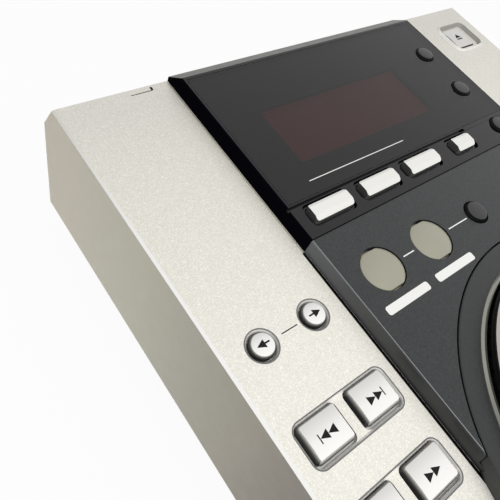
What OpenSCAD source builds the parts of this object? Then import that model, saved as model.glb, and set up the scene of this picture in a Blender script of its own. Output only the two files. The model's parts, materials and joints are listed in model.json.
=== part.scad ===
// Tabletop DJ disc player with a front disc slot, a jog wheel and a raised control panel.
// Millimetres. +Z is up, +X is the operator's right and -Y is the front.
// The origin is on the table, under the middle of the player.

/* [Case] */
// Width of the silver case
body_w = 217.9; // [210:0.1:240]
// Depth of the silver case
body_d = 296; // [290:1:320]
// Height of the silver case wall
shell_h = 56.5; // [54:0.5:65]
// Height of the bottom case below the silver case
base_h = 30.5; // [30:0.5:40]
// Height of the rubber feet
foot_h = 9; // [6:0.5:14]
// Wall thickness of the silver case
case_wall = 2.5; // [2:0.1:3]
// Thickness of the silver deck
deck_t = 2.5; // [2.2:0.1:3]
// Radius of the case's upright corners
corner_r = 3; // [1:0.5:5]
// Chamfer along the deck's edges
deck_edge = 0.8; // [0.4:0.1:1.2]
// How far the rear slope runs back below the deck
rear_run = 7.1; // [4:0.1:9]
// How far the rear slope drops
rear_drop = 12; // [8:0.5:16]
// Lean of the rear wall below the slope
rear_lean = 2.6; // [0:0.1:4]
// Chamfer along the front of the deck
front_edge = 2.2; // [1:0.1:4]

/* [Bottom case] */
// Sheet thickness of the bottom case
sheet_t = 1.2; // [1:0.1:1.6]
// Inset of the bottom case's top edge from the silver case
base_inset = 13; // [12:0.5:15]
// Further inset of its floor
base_slope = 4; // [0:0.5:6]
// Inset of its rear wall
base_rear_inset = 10; // [8:0.5:14]
// Radius of the rubber feet
foot_r = 11; // [8:0.5:13]
// Shank radius of the case screws
screw_r = 1.5; // [1.2:0.1:2]
// Radius of the screw bosses
boss_r = 4; // [3:0.1:5]
// Height of the screw bosses
boss_h = 20; // [16:1:26]

/* [Raised panel] */
// Width of the deck strip left of the raised panel
left_strip_w = 43.1; // [42:0.1:46]
// Width of the raised panel at its foot
panel_w = 124.9; // [124:0.1:129]
// Height of the raised panel above the deck
panel_h = 6; // [5:0.5:8]
// Draft of the panel's sides over their height
panel_draft = 0.4; // [0.2:0.1:1.5]
// Wall thickness of the panel
panel_t = 2.2; // [2:0.1:2.6]
// Bevel along the panel's top edges
panel_bevel = 0.4; // [0.2:0.1:1]
// Gap between the panel's front foot and the front wall
panel_front_gap = 2; // [1:0.5:4]
// Run of the panel's front slope
panel_front_run = 6; // [3:0.5:8]
// Width of the deck ledge that carries the panel's sides
ledge_w = 3.5; // [3:0.1:4]
// Width of the deck rails in front of and behind the panel's opening
rail_w = 10; // [8:0.5:12]
// Width of the groove in the deck along the panel's sides
foot_gap = 1; // [0.6:0.1:1.4]

/* [Display] */
// Length of the display housing, front to back
display_len = 81.5; // [78:0.1:84]
// Length of its lower button strip
strip_len = 11.6; // [11:0.1:14]
// How far the display face stands above the panel
display_proud = 0.7; // [0.6:0.1:2]
// How far the button strip lies below the display face
strip_drop = 0.2; // [0.1:0.1:0.6]
// Width of the groove between the display face and the button strip
strip_gap = 1.1; // [0.7:0.1:1.4]
// Run of the display housing's rear slope
display_rear_run = 7; // [4:0.1:8]
// Drop of that slope
display_rear_drop = 4.9; // [3:0.1:5]
// Thickness of the display face
face_t = 3; // [2.6:0.1:3.6]
// Thickness of the smoked window
window_t = 1.4; // [1:0.1:1.6]
// Border round the smoked window
window_border = 1.2; // [0.8:0.1:2]
// Width of the lit display area
lit_w = 73; // [60:1:76]
// Depth of the lit display area
lit_d = 26; // [20:1:28]
// Distance of the lit area's centre from the deck's rear edge
lit_from_back = 42; // [40:0.5:44]
// Distance of the lit area's centre from the case's left side
lit_from_left = 98.5; // [97:0.5:100]

/* [Jog wheel] */
// Radius of the jog wheel's plate
jog_r = 57; // [50:0.1:57.2]
// Distance of the jog wheel's centre from the deck's rear edge
jog_from_back = 179.2; // [178:0.1:182]
// Height of the jog wheel's plate above the raised panel
jog_rise = 4.3; // [4:0.1:6]
// Thickness of the jog wheel's plate
jog_plate_t = 2.2; // [1.8:0.1:2.6]
// Width of the surround ring beyond the plate
ring_beyond = 8.9; // [8.6:0.1:10]
// Width of the groove round the surround ring
ring_groove = 0.45; // [0.3:0.05:0.7]
// Radius of the jog wheel's shaft
jog_shaft_r = 4; // [3:0.1:5]
// Radius of the slotted encoder disc
encoder_r = 24; // [20:0.5:26]
// Slots in the encoder disc
encoder_slots = 48; // [24:4:60]
// Radius of the finger dimple in the plate
dimple_r = 8; // [6:0.5:9]

/* [Keys] */
// Travel of every key
key_travel = 0.8; // [0.5:0.1:1]
// Gap round every key
key_clear = 0.3; // [0.2:0.05:0.4]
// Width of the flange that holds a key under its cover
key_flange = 1.2; // [1:0.1:1.4]
// Height of the deck keys above the deck
deck_key_proud = 1.2; // [0.8:0.1:2]
// Radius of the round search keys
folder_r = 4.1; // [3.5:0.1:4.6]
// Width of the square search keys
search_w = 14.2; // [12:0.1:14.4]
// Depth of the square search keys
search_d = 11.4; // [8:0.1:12]
// Width of the bridge between a pair of search keys
search_bridge = 3.7; // [3.6:0.1:5]
// How far the sides of the square search keys lean in
search_lean = 1.1; // [0.6:0.1:1.2]
// How far the tops of the square search keys stand back
search_shift = 0.5; // [0:0.1:0.7]
// How far the flanks of the round keys lean in
round_lean = 0.8; // [0.4:0.1:1]
// Depth of the troughs round the deck keys
trough_depth = 0.8; // [0.6:0.1:1.2]
// Margin of the troughs round the deck keys
trough_margin = 0.75; // [0.7:0.05:1.6]
// Corner radius of the troughs round the deck keys
trough_r = 2.8; // [2:0.1:3]
// Width of the slanting rims round the round deck keys
rim_w = 0.6; // [0.5:0.1:1.1]
// Depth of the wells round the keys on the display housing and on the raised panel
well_depth = 0.9; // [0.3:0.1:1.2]
// Margin of the wells round the effect keys
well_margin = 1.3; // [0.6:0.1:1.4]
// Margin of the well at the sides of the hold key
hold_margin = 2.4; // [1.4:0.1:2.6]
// Radius of the cue and play keys
play_r = 14; // [12:0.5:14.5]
// Radius of the loop keys
loop_r = 7.5; // [7:0.1:8]
// Half depth of the loop keys between their flats
loop_flat = 6.9; // [6:0.1:7]
// Radius of the small round mode keys
mode_r = 4.1; // [3.6:0.1:4.5]
// Height of the loop keys above the raised panel
loop_proud = 0.8; // [0.6:0.1:2]
// Height of the small round keys above their face
mode_proud = 1.2; // [0.8:0.1:1.6]
// Radius of the key that leaves a loop
reloop_r = 4.5; // [3.8:0.1:5]
// Width of the long effect keys
effect_w = 16.8; // [15:0.1:18]
// Width of the short hold key
hold_w = 10.2; // [9:0.1:11]
// Depth of the effect keys
effect_d = 6; // [5.6:0.1:6.6]
// Distance between the effect keys
key_pitch = 23.4; // [22.5:0.1:24.5]
// Distance between the two loop keys
loop_pitch = 24.1; // [23:0.1:26]
// Distance of the key that leaves a loop from the second loop key
reloop_pitch = 25.6; // [24:0.1:27]
// Height of the effect keys above the display housing
effect_proud = 1.8; // [1:0.1:2.6]
// Width of the eject key
eject_w = 13; // [10:0.1:13.4]
// Depth of the eject key
eject_d = 13; // [11:0.1:13.5]
// Margin of the eject key's well at its sides
eject_side = 3; // [3:0.1:4]
// Margin of the eject key's well at its front and rear
eject_end = 1.8; // [1.7:0.1:2.5]
// How far the middle of that well lies to the right of the key's
eject_shift = 1.2; // [0:0.1:1.2]
// Height of the ridge round the eject key's well
eject_ridge = 0.9; // [0.4:0.1:1.2]

/* [Tempo slider] */
// Travel of the tempo slider, end to end
tempo_travel = 60; // [50:1:64]
// Width of the slider's knob
knob_w = 18; // [14:0.5:20]
// Depth of the slider's knob
knob_d = 12; // [10:0.5:14]
// Height of the slider's knob
knob_h = 8; // [6:0.5:10]
// Width of the slot in the deck
slider_slot = 4.2; // [3.6:0.1:5]

/* [Disc drive] */
// Radius of the disc
disc_r = 60; // [60:0.1:60.2]
// Height of the free way for the disc
disc_way = 4.8; // [4.6:0.1:5.2]
// Height of the disc way's lower side above the silver case's bottom edge
disc_rise = 22.4; // [22:0.1:24]
// Distance of the turntable's centre from the front face
turntable_from_front = 86; // [85:0.5:88]
// Radius of the loading roller
roller_r = 5; // [4:0.1:5.2]
// Radius of the turntable
turntable_r = 15; // [13:0.5:15.5]
// Travel of the pickup carriage
sled_travel = 34; // [30:1:35]
// Radius of the guide rods
rod_r = 1.5; // [1.2:0.1:1.8]
// Tooth module of the loading gears
load_module = 0.8; // [0.8:0.1:0.8]
// Teeth on the roller's gear
roller_teeth = 20; // [20:1:20]
// Teeth on the idler gear
idler_teeth = 24; // [24:1:24]
// Teeth on the loading motor's pinion
pinion_teeth = 10; // [10:1:10]
// Tooth module of the sled's rack and pinion
sled_module = 1; // [1:0.1:1]
// Teeth on the sled motor's pinion
sled_teeth = 12; // [12:1:12]

/* [Sockets] */
// Outer radius of the audio sockets' barrels
audio_r = 4.15; // [4:0.05:4.2]
// Length of the audio sockets' barrels
audio_len = 8.6; // [8:0.1:9]
// Distance between the audio sockets
audio_pitch = 18; // [16:0.5:20]
// Bore radius of the control jack
jack_r = 1.75; // [1.7:0.01:1.8]
// Depth of the control jack's bore
jack_len = 12; // [10:0.5:14]
// Width of the mains inlet's cavity
inlet_w = 20; // [18:0.5:22]
// Height of the mains inlet's cavity
inlet_h = 10.4; // [10:0.1:12]
// Depth of the mains inlet's cavity
inlet_depth = 15; // [13:0.5:16]

/* [Hidden] */
$fn = 64;

// Running gap between a shaft and its bore
run_gap = 0.05;
// Gap between a moving piece and the face that it rests near
rest_gap = 0.1;
// How far a key's body below its flanks lies within them
key_inset = 0.3;
// Corner radii of the square keys and of the bar keys
square_corner = 1.6;
bar_corner = 1;
// Assembly gap between two covers
cover_gap = 0.15;

// Levels
shell_z = foot_h + base_h;
deck_z = shell_z + shell_h;
deck_under = deck_z - deck_t;
panel_z = deck_z + panel_h;
panel_under = panel_z - panel_t;
face_z = panel_z + display_proud;
face_under = face_z - face_t;
strip_z = face_z - strip_drop;
floor_z = foot_h + sheet_t;

// Edges of the case
left_x = -body_w / 2;
right_x = body_w / 2;
front_y = -body_d / 2;
back_y = body_d / 2;
deck_back_y = back_y - rear_run - rear_lean;
knee_y = back_y - rear_lean;

// The jog wheel, clear of the row of keys behind it
ring_r = jog_r + ring_beyond;
key_row = 100;
reloop_front = deck_back_y - key_row - reloop_r - key_flange - key_clear;
jog_y = min(deck_back_y - jog_from_back, reloop_front - panel_t - ring_groove - ring_r);
ring_floor_t = 2;
ring_edge = 0.4;
ring_seat = 3.1;
ring_rise = 0.35;
lip_w = 1.2;
lip_h = 0.85;
lip_foot = 0.6;
well_r = jog_r + 0.2;
lip_r = well_r + lip_w;
skirt_r = well_r + 2;
ring_z = deck_z + ring_floor_t;
ring_top = panel_z + ring_rise;
jog_top = panel_z + jog_rise;
jog_web_z = jog_top - jog_plate_t;
bearing_top = jog_web_z - 4.1;
strap_z = deck_under - 1.5;
bearing_low = strap_z - 3.5;
encoder_z = bearing_low - 3.3;
encoder_slot = 4.5;

// The raised panel, at least as wide as the seat of the jog wheel's ring
panel_foot = max(panel_w / 2, skirt_r + ring_seat + cover_gap);
panel_half = panel_foot - panel_draft;
panel_x = left_x + left_strip_w + panel_foot;
display_y = deck_back_y - display_len;
trough_y = display_y + strip_len;
display_wall = panel_t - 0.6;
panel_front_y = front_y + panel_front_gap;
opening_half = panel_foot - ledge_w;
right_strip_x = (panel_x + panel_foot + right_x) / 2;

// The panel board and its switches
board_t = 1.6;
board_drop = 12;
board_edge = 5;
board_z = deck_z - board_drop;
board_top = board_z + board_t;
switch_h = 4;
switch_half = 3;
switch_top = board_top + switch_h;
stem_low = switch_top + key_travel + rest_gap;

// Places measured from the case's left side and from the deck's rear edge
function at(from_left, from_back) = [left_x + from_left, deck_back_y - from_back];
function from_right(from_side, from_back) = [right_x - from_side, deck_back_y - from_back];

folder_row = 99.8;
folder_places = [at(12.4, folder_row), at(31.65, folder_row)];
search_x = 21.75;
search_step = (search_w + search_bridge) / 2;
track_from_back = 127.7;
search_from_back = track_from_back + 23;
track_places = [at(search_x - search_step, track_from_back), at(search_x + search_step, track_from_back)];
search_places = [at(search_x - search_step, search_from_back), at(search_x + search_step, search_from_back)];
play_x = 22.6;
cue_from_back = search_from_back + 53.8;
play_from_back = cue_from_back + 44;
cue_place = at(play_x, cue_from_back);
play_place = at(play_x, play_from_back);
eject_x = 18.65;
eject_from_back = 19.5;
eject_place = from_right(eject_x, eject_from_back);
eject_rim = 0.6;
eject_slope = 0.6;
eject_wall = 1.2;
eject_well_place = [eject_place[0] + eject_shift, eject_place[1]];
range_from_back = 105;
hold_tempo_from_back = 128;
range_place = [right_strip_x, deck_back_y - range_from_back];
hold_tempo_place = [right_strip_x, deck_back_y - hold_tempo_from_back];
first_loop = 58.3;
loop_places = [at(first_loop, key_row), at(first_loop + loop_pitch, key_row)];
reloop_place = at(first_loop + loop_pitch + reloop_pitch, key_row);
first_effect = 57.55;
effect_row = 74.35;
effect_places = [for (i = [0:2]) at(first_effect + i * key_pitch, effect_row)];
hold_x = 129.45;
hold_place = at(hold_x, effect_row);
mode_x = 156.3;
mode_pitch = 22.6;
first_mode = 28.9;
mode_places = [for (i = [0:2]) at(mode_x, first_mode + i * mode_pitch)];
small_key = [12, 7];
key_places = concat(folder_places, track_places, search_places, [cue_place, play_place, eject_place],
    [range_place, hold_tempo_place], loop_places, [reloop_place], effect_places, [hold_place], mode_places);

// The disc drive
drive_x = panel_x;
drive_y = front_y + turntable_from_front;
way_z = shell_z + disc_rise;
way_top = way_z + disc_way;
way_half = disc_r + 2;
wall_in = way_half + 4.5;
frame_wall = 1.5;
frame_h = 19;
frame_low = way_z - frame_h;
frame_floor = frame_low + frame_wall;
frame_front = drive_y - disc_r - 15;
frame_back = drive_y + disc_r + 24;
guide_z = way_top + 0.3;
roller_y = drive_y - disc_r - 7;
roller_z = way_z - rest_gap - roller_r;
shaft_r = 1.5;
rib_h = 0.6;
rib_pitch = 8;
rib_w = 6.8;
gear_t = 3;
gear_x = drive_x + wall_in + frame_wall + 0.5;
gear_clear = 0.12;
idler_y = roller_y + load_module * (roller_teeth + idler_teeth) / 2;
pinion_angle = -19.3;
pinion_reach = load_module * (idler_teeth + pinion_teeth) / 2;
pinion_y = idler_y + pinion_reach * cos(pinion_angle);
pinion_z = roller_z + pinion_reach * sin(pinion_angle);
platter_z = way_z - 2.2;
clamper_r = 16;
rod_x = 20;
rod_z = frame_floor + 9;
sled_len = 20;
sled_front = drive_y + turntable_r - 1;
rack_x = drive_x + 28;
sled_pinion_x = rack_x + sled_module * sled_teeth / 2;
sled_pinion_y = sled_front + sled_travel - 2;

// The tempo slider
tempo_x = right_strip_x;
tempo_from_back = 205;
tempo_y = deck_back_y - tempo_from_back;
lever_w = 3.2;
lever_d = 6;
lever_depth = 6.5;
slider_half = 7;
slider_end = 3;

// Rear sockets
rear_wall_y = back_y - base_rear_inset;
rear_inner_y = rear_wall_y - sheet_t;
socket_z = foot_h + base_h / 2;
socket_lip = 2;
audio_xs = [for (i = [0:2]) right_x - 139 + i * audio_pitch];
jack_x = right_x - 81;
inlet_x = right_x - 47;
power_x = left_x + 36;
button_travel = 3;
button_w = 12.4;
button_h = 8.4;
button_proud = 5;
button_back = rear_inner_y - 3.4;
stem_half = 3;

// Case screws and bosses
boss_x = right_x - 8;
boss_step = (body_d - 36) / 3;
boss_ys = [for (i = [0:3]) front_y + 12 + i * boss_step];
foot_places = [for (sx = [-1, 1]) for (sy = [-1, 1]) [sx * (right_x - 31), sy * (back_y - 32)]];
damper_places = [for (sx = [-1, 1]) for (y = [frame_front + 22, frame_back - 14]) [drive_x + sx * 59, y]];
damper_h = 4;
pillar_r = 5;
pin_r = 1;
pin_y = front_y + 88;
pin_seat = 1;
clip_x = 22;
boss_rows = [folder_row - 23.8, search_from_back + 21.3, cue_from_back + 21.5];
board_bosses = [at(14, 20), at(9, boss_rows[0]), at(35, boss_rows[0]), at(9, boss_rows[1]), at(30, boss_rows[1]),
    at(9, boss_rows[2]), at(36, boss_rows[2]), from_right(9, 60), [panel_x + panel_foot + 7.4, deck_back_y - 118],
    from_right(9, 142)];
board_back = deck_back_y - 8;
board_front = deck_back_y - key_row - 22;

// The main board below the drive, and the power supply behind it
standoff_h = 5;
pan_half = right_x - base_inset - base_slope;
main_half = 69;
main_left = drive_x - main_half;
main_right = drive_x + main_half;
main_front = frame_front + 15;
main_back = frame_back - 2;
main_places = [for (x = [main_left + 22, main_right - 22]) for (y = [main_front + 6, main_back - 6]) [x, y]];
supply_left = 3 - pan_half;
supply_right = supply_left + 96;
supply_back = rear_inner_y - 13;
supply_front = supply_back - 74;
switch_back = rear_inner_y - 4 - button_travel;
supply_places = [for (x = [supply_left + 6, supply_right - 6]) for (y = [supply_front + 6, supply_back - 6]) [x, y]];

// ---------- shared shapes ----------

// Rounded rectangle, centred, with true arcs at its corners
module rounded(w, d, r) {
    square([w - 2 * r, d], center = true);
    square([w, d - 2 * r], center = true);
    for (sx = [-1, 1]) for (sy = [-1, 1])
        translate([sx * (w / 2 - r), sy * (d / 2 - r)]) circle(r = r);
}

// Upright block with rounded corners; its sides lean in from low to high, or out for a recess
module leaning(place, w, d, r, low, high, lean) {
    half_w = w / 2;
    half_d = d / 2;
    translate([place[0], place[1], 0]) {
        along_x(r - half_w, half_w - r)
            polygon([[-half_d, low], [half_d, low], [half_d - lean, high], [lean - half_d, high]]);
        along_y(r - half_d, half_d - r)
            polygon([[-half_w, low], [half_w, low], [half_w - lean, high], [lean - half_w, high]]);
        for (sx = [-1, 1]) for (sy = [-1, 1])
            translate([sx * (half_w - r), sy * (half_d - r), low])
                cylinder(r1 = r, r2 = r - lean, h = high - low);
    }
}

// Recess whose walls lean out to the given size at the face
module recess(place, w, d, r, face, depth, lean) {
    over = 0.5;
    slant = lean * (depth + over) / depth;
    leaning(place, w - 2 * lean, d - 2 * lean, r - lean, face - depth, face + over, -slant);
}

// Child outline in (y, z), drawn along X from x0 to x1
module along_x(x0, x1) {
    translate([x0, 0, 0]) rotate([90, 0, 90]) linear_extrude(height = x1 - x0) children();
}

// Child outline in (x, z), drawn along Y from y0 to y1
module along_y(y0, y1) {
    translate([0, y1, 0]) rotate([90, 0, 0]) linear_extrude(height = y1 - y0) children();
}

// Child outline in (x, y), drawn up from z0 to z1
module up(z0, z1) {
    translate([0, 0, z0]) linear_extrude(height = z1 - z0) children();
}

module box(x0, x1, y0, y1, z0, z1) {
    translate([x0, y0, z0]) cube([x1 - x0, y1 - y0, z1 - z0]);
}

module rod(place, r, z0, z1) {
    translate([place[0], place[1], z0]) cylinder(r = r, h = z1 - z0);
}

module rod_y(x, z, r, y0, y1) {
    translate([x, y1, z]) rotate([90, 0, 0]) cylinder(r = r, h = y1 - y0);
}

module rod_x_way(y, z, r, x0, x1) {
    translate([x0, y, z]) rotate([0, 90, 0]) cylinder(r = r, h = x1 - x0);
}

// Outline of a spur gear: straight-flanked teeth, one tooth at the given angle
module gear_outline(teeth, size, angle, play) {
    pitch_r = teeth * size / 2;
    pitch_half = 90 / teeth - play / pitch_r * 57.3;
    levels = [[-1.25, 1.5], [0, 1], [0.9, 0.46]];
    corner = function (tooth, level, side)
        let (r = pitch_r + levels[level][0] * size)
        let (a = angle + tooth * 360 / teeth + side * pitch_half * levels[level][1])
        [r * cos(a), r * sin(a)];
    polygon([for (i = [0:teeth - 1]) for (k = [0:5]) corner(i, k < 3 ? k : 5 - k, k < 3 ? -1 : 1)]);
}

// Angle of the next gear's tooth so that it meshes in the given direction
function mesh_angle(teeth, angle, direction, next_teeth) =
    direction + 180 + (direction - angle) * teeth / next_teeth + 180 / next_teeth;

// ---------- keys ----------

// Flange and stem below a key; the outline is the key's own, grown by the flange
module key_under(place, under) {
    translate([place[0], place[1], 0]) up(under - rest_gap - key_flange, under - rest_gap) children();
    rod(place, 1.8, stem_low, under - rest_gap - key_flange);
}

// Round key with a leaning flank above the given level and a crowned top
module round_key(place, r, under, low, top) {
    dome = 0.07 * r;
    crown = (r * r + dome * dome) / (2 * dome);
    intersection() {
        translate([place[0], place[1], low]) cylinder(r1 = r, r2 = r - round_lean, h = top - low);
        translate([place[0], place[1], top - crown]) sphere(r = crown);
    }
    rod(place, r - key_inset, under - rest_gap, low + key_inset);
    key_under(place, under) circle(r = r + key_flange);
}

// Square key with leaning sides and a slightly cambered top that can stand back
module square_key(place, w, d, under, low, top, lean, shift) {
    camber = 60;
    intersection() {
        leaning([place[0], place[1] + shift], w, d, square_corner, low, top, lean);
        translate([place[0], place[1], 0]) up(low - 1, top + 1) rounded(w, d, square_corner);
        rod_x_way(place[1], top - camber, camber, place[0] - w, place[0] + w);
    }
    translate([place[0], place[1], 0]) up(under - rest_gap, low + key_inset)
        rounded(w - 2 * key_inset, d - 2 * key_inset - 2 * shift, 1);
    key_under(place, under) rounded(w + 2 * key_flange, d + 2 * key_flange, 1);
}

// Bar key with a ridge: a level top behind it and a slope down to the front
module bar_key(place, w, d, under, top) {
    ridge = -0.2 * d;
    front_drop = 0.17 * d;
    rear_drop = 0.08 * d;
    intersection() {
        translate([place[0], place[1], 0]) up(under - rest_gap, top) rounded(w, d, bar_corner);
        translate([0, place[1], 0]) along_x(place[0] - w, place[0] + w)
            polygon([[-d / 2, under - 1], [-d / 2, top - front_drop], [ridge, top], [0.34 * d, top],
                [d / 2, top - rear_drop], [d / 2, under - 1]]);
    }
    key_under(place, under) rounded(w + 2 * key_flange, d + 2 * key_flange, 1);
}

// Loop key: a disc with flats at its front and rear
module loop_key(place) {
    top = panel_z + loop_proud;
    crown = 24;
    intersection() {
        rod(place, loop_r, panel_under - rest_gap, top);
        box(place[0] - loop_r, place[0] + loop_r, place[1] - loop_flat, place[1] + loop_flat, deck_z, top);
        translate([place[0], place[1], top - crown]) sphere(r = crown);
    }
    key_under(place, panel_under) circle(r = loop_r + key_flange);
}

module round_hole(place, r, z0, z1) {
    rod(place, r + key_clear, z0, z1);
}

module bar_hole(place, w, d, corner, z0, z1) {
    translate([place[0], place[1], 0]) up(z0, z1) rounded(w + 2 * key_clear, d + 2 * key_clear, corner + key_clear);
}

// Conical rim round a round key's hole
module rim_cut(place, r) {
    over = 0.3;
    inner = r + key_clear;
    translate([place[0], place[1], deck_z - trough_depth])
        cylinder(r1 = inner, r2 = inner + rim_w * (1 + over / trough_depth), h = trough_depth + over);
}

// Trough with leaning walls round a deck key or a pair of them
module trough_cut(place, w, d) {
    recess(place, w + 2 * trough_margin, d + 2 * trough_margin, trough_r, deck_z, trough_depth,
        trough_margin - key_clear - 0.05);
}

// Ridge round the eject key's well
module eject_surround() {
    w = eject_w + 2 * (eject_side + eject_rim + eject_slope);
    d = eject_d + 2 * (eject_end + eject_rim + eject_slope);
    leaning(eject_well_place, w, d, 4.5, deck_z - 0.5, deck_z + eject_ridge, eject_slope);
}

module eject_well() {
    recess(eject_well_place, eject_w + 2 * eject_side, eject_d + 2 * eject_end, 3.2, deck_z + eject_ridge,
        eject_ridge + trough_depth, eject_wall);
}

// ---------- silver case ----------

// Side outline of the case, moved in by an inset
module case_side(inset, low, high) {
    polygon([
        [front_y + inset, low],
        [front_y + inset, high - front_edge],
        [front_y + inset + front_edge, high],
        [deck_back_y - inset, high],
        [knee_y - inset, deck_z - rear_drop],
        [back_y - inset, low]
    ]);
}

module case_front(inset, low, high) {
    half = body_w / 2 - inset;
    polygon([[-half, low], [-half, high - deck_edge], [-half + deck_edge, high],
        [half - deck_edge, high], [half, high - deck_edge], [half, low]]);
}

module case_solid(inset, low, high) {
    intersection() {
        along_x(left_x, right_x) case_side(inset, low, high);
        along_y(front_y, back_y) case_front(inset, low, high);
        up(low, high) rounded(body_w - 2 * inset, body_d - 2 * inset, max(corner_r - inset, 0.5));
    }
}

module disc_slot_cut() {
    slot_low = way_z - 1.1;
    slot_high = way_top + 1.1;
    box(drive_x - way_half - 1, drive_x + way_half + 1, front_y - 1, front_y + case_wall + 1, slot_low, slot_high);
    box(drive_x - way_half - 4, drive_x + way_half + 4, front_y - 1, front_y + 0.8, slot_low - 3, slot_high + 3);
}

module strip_key_cuts() {
    z0 = deck_under - 1;
    z1 = deck_z + 1;
    pair_w = 2 * search_w + search_bridge;
    for (p = folder_places) {
        round_hole(p, folder_r, z0, z1);
        rim_cut(p, folder_r);
    }
    for (p = concat(track_places, search_places)) bar_hole(p, search_w, search_d, square_corner, z0, z1);
    for (row = [track_from_back, search_from_back]) trough_cut(at(search_x, row), pair_w, search_d);
    for (p = [cue_place, play_place]) {
        round_hole(p, play_r, z0, z1);
        rim_cut(p, play_r);
    }
    bar_hole(eject_place, eject_w, eject_d, square_corner, z0, z1);
    eject_well();
    for (p = [range_place, hold_tempo_place]) bar_hole(p, small_key[0], small_key[1], square_corner, z0, z1);
}

module top_cover() {
    color([0.86, 0.85, 0.82]) {
        difference() {
            union() {
                case_solid(0, shell_z, deck_z);
                eject_surround();
            }
            case_solid(case_wall, shell_z - 1, deck_under);
            for (side = [-1, 1]) foot_groove(side);
            box(panel_x - opening_half, panel_x + opening_half, panel_front_y + rail_w, deck_back_y - rail_w,
                deck_under - 1, deck_z + 1);
            rod([panel_x, jog_y], skirt_r + key_clear, deck_under - 1, deck_z + 1);
            strip_key_cuts();
            disc_slot_cut();
            box(tempo_x - slider_slot / 2, tempo_x + slider_slot / 2,
                tempo_y - tempo_travel / 2 - lever_d / 2 - 0.8, tempo_y + tempo_travel / 2 + lever_d / 2 + 0.8,
                deck_under - 1, deck_z + 1);
        }
        for (sx = [-1, 1]) for (y = boss_ys) screw_boss(sx, y);
        for (p = board_bosses) rod(p, 2.8, board_top, deck_under);
    }
}

// Groove in the deck along one side of the raised block's foot
module foot_groove(side) {
    inner = panel_x + side * panel_foot;
    outer = inner + side * foot_gap;
    box(min(inner, outer), max(inner, outer), panel_front_y, deck_back_y - foot_gap, deck_z - foot_gap, deck_z + 1);
}

// Boss and its rib on the side wall
module screw_boss(side, y) {
    low = shell_z + sheet_t;
    wall_x = body_w / 2 - case_wall;
    difference() {
        union() {
            rod([side * boss_x, y], boss_r, low, low + boss_h);
            box(min(side * boss_x, side * wall_x), max(side * boss_x, side * wall_x), y - 1, y + 1, low, low + boss_h);
        }
        rod([side * boss_x, y], screw_r, low - 1, low + 13);
    }
}

// ---------- bottom case ----------

module pan_solid(inset, low, high) {
    top_half = body_w / 2 - base_inset - inset;
    low_half = top_half - base_slope;
    top_front = front_y + base_inset + inset;
    intersection() {
        along_y(front_y, back_y)
            polygon([[-low_half, low], [-top_half, shell_z], [-top_half, high], [top_half, high],
                [top_half, shell_z], [low_half, low]]);
        along_x(left_x, right_x)
            polygon([[top_front + base_slope, low], [top_front, shell_z], [top_front, high],
                [rear_wall_y - inset, high], [rear_wall_y - inset, low]]);
    }
}

module vent_slots(place, count, w) {
    for (i = [0:count - 1])
        translate([place[0], place[1] + i * 7, foot_h - 1]) linear_extrude(height = sheet_t + 2) rounded(w, 2.6, 1.25);
}

module flange() {
    gap = case_wall + 0.2;
    difference() {
        up(shell_z, shell_z + sheet_t)
            translate([0, -0.3]) rounded(body_w - 2 * gap, body_d - 2 * gap - 0.6, 1);
        for (sx = [-1, 1]) for (y = boss_ys) rod([sx * boss_x, y], screw_r + 0.2, shell_z - 1, shell_z + sheet_t + 1);
    }
}

module bottom_case() {
    color([0.07, 0.07, 0.075]) {
        difference() {
            union() {
                pan_solid(0, foot_h, shell_z + sheet_t);
                flange();
            }
            pan_solid(sheet_t, floor_z, shell_z + sheet_t + 1);
            for (p = foot_places) rod(p, 2.6, foot_h - 1, floor_z + 1);
            for (x = [-0.5 * body_w / 2, 0.42 * body_w / 2]) vent_slots([x, frame_back + 34], 8, 46);
            for (x = audio_xs) rod_y(x, socket_z, audio_r + 1.2, rear_inner_y - 1, rear_wall_y + 1);
            rod_y(jack_x, socket_z, 4.1, rear_inner_y - 1, rear_wall_y + 1);
            inlet_body(0.1, rear_inner_y - 1, rear_wall_y + 1);
            box(power_x - button_w / 2 - key_clear, power_x + button_w / 2 + key_clear, rear_inner_y - 1,
                rear_wall_y + 1, socket_z - button_h / 2 - key_clear, socket_z + button_h / 2 + key_clear);
        }
        for (p = damper_places) rod(p, pillar_r, floor_z, frame_low - damper_h);
        for (p = concat(main_places, supply_places)) rod(p, 3, floor_z, floor_z + standoff_h);
        for (sx = [-1, 1]) pin_clip(sx * clip_x);
    }
}

// Clip under the floor that holds the eject pin
module pin_clip(x) {
    clip_w = 2;
    clip_h = 4.5;
    for (side = [-1, 1])
        box(x - clip_w, x + clip_w, pin_y + side * (2 * pin_r + 1) - 1, pin_y + side * (2 * pin_r + 1) + 1,
            foot_h - clip_h, foot_h);
    box(x - clip_w, x + clip_w, pin_y - 2 * pin_r, pin_y + 2 * pin_r, foot_h - pin_seat, foot_h);
}

module eject_pin() {
    z = foot_h - pin_seat - pin_r;
    bend_x = clip_x + 8;
    color([0.75, 0.75, 0.76]) {
        rod_x_way(pin_y, z, pin_r, -clip_x - 14, bend_x);
        rod_y(bend_x, z, pin_r, pin_y - 12, pin_y);
        translate([bend_x, pin_y, z]) sphere(r = pin_r);
    }
}

module rubber_feet() {
    color([0.05, 0.05, 0.05])
        for (p = foot_places) {
            difference() {
                translate([p[0], p[1], 0]) cylinder(r1 = foot_r - 1, r2 = foot_r, h = foot_h);
                rod(p, 4, -1, foot_h / 2);
            }
            rod(p, 2.5, foot_h, floor_z + 1.5);
        }
}

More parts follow.
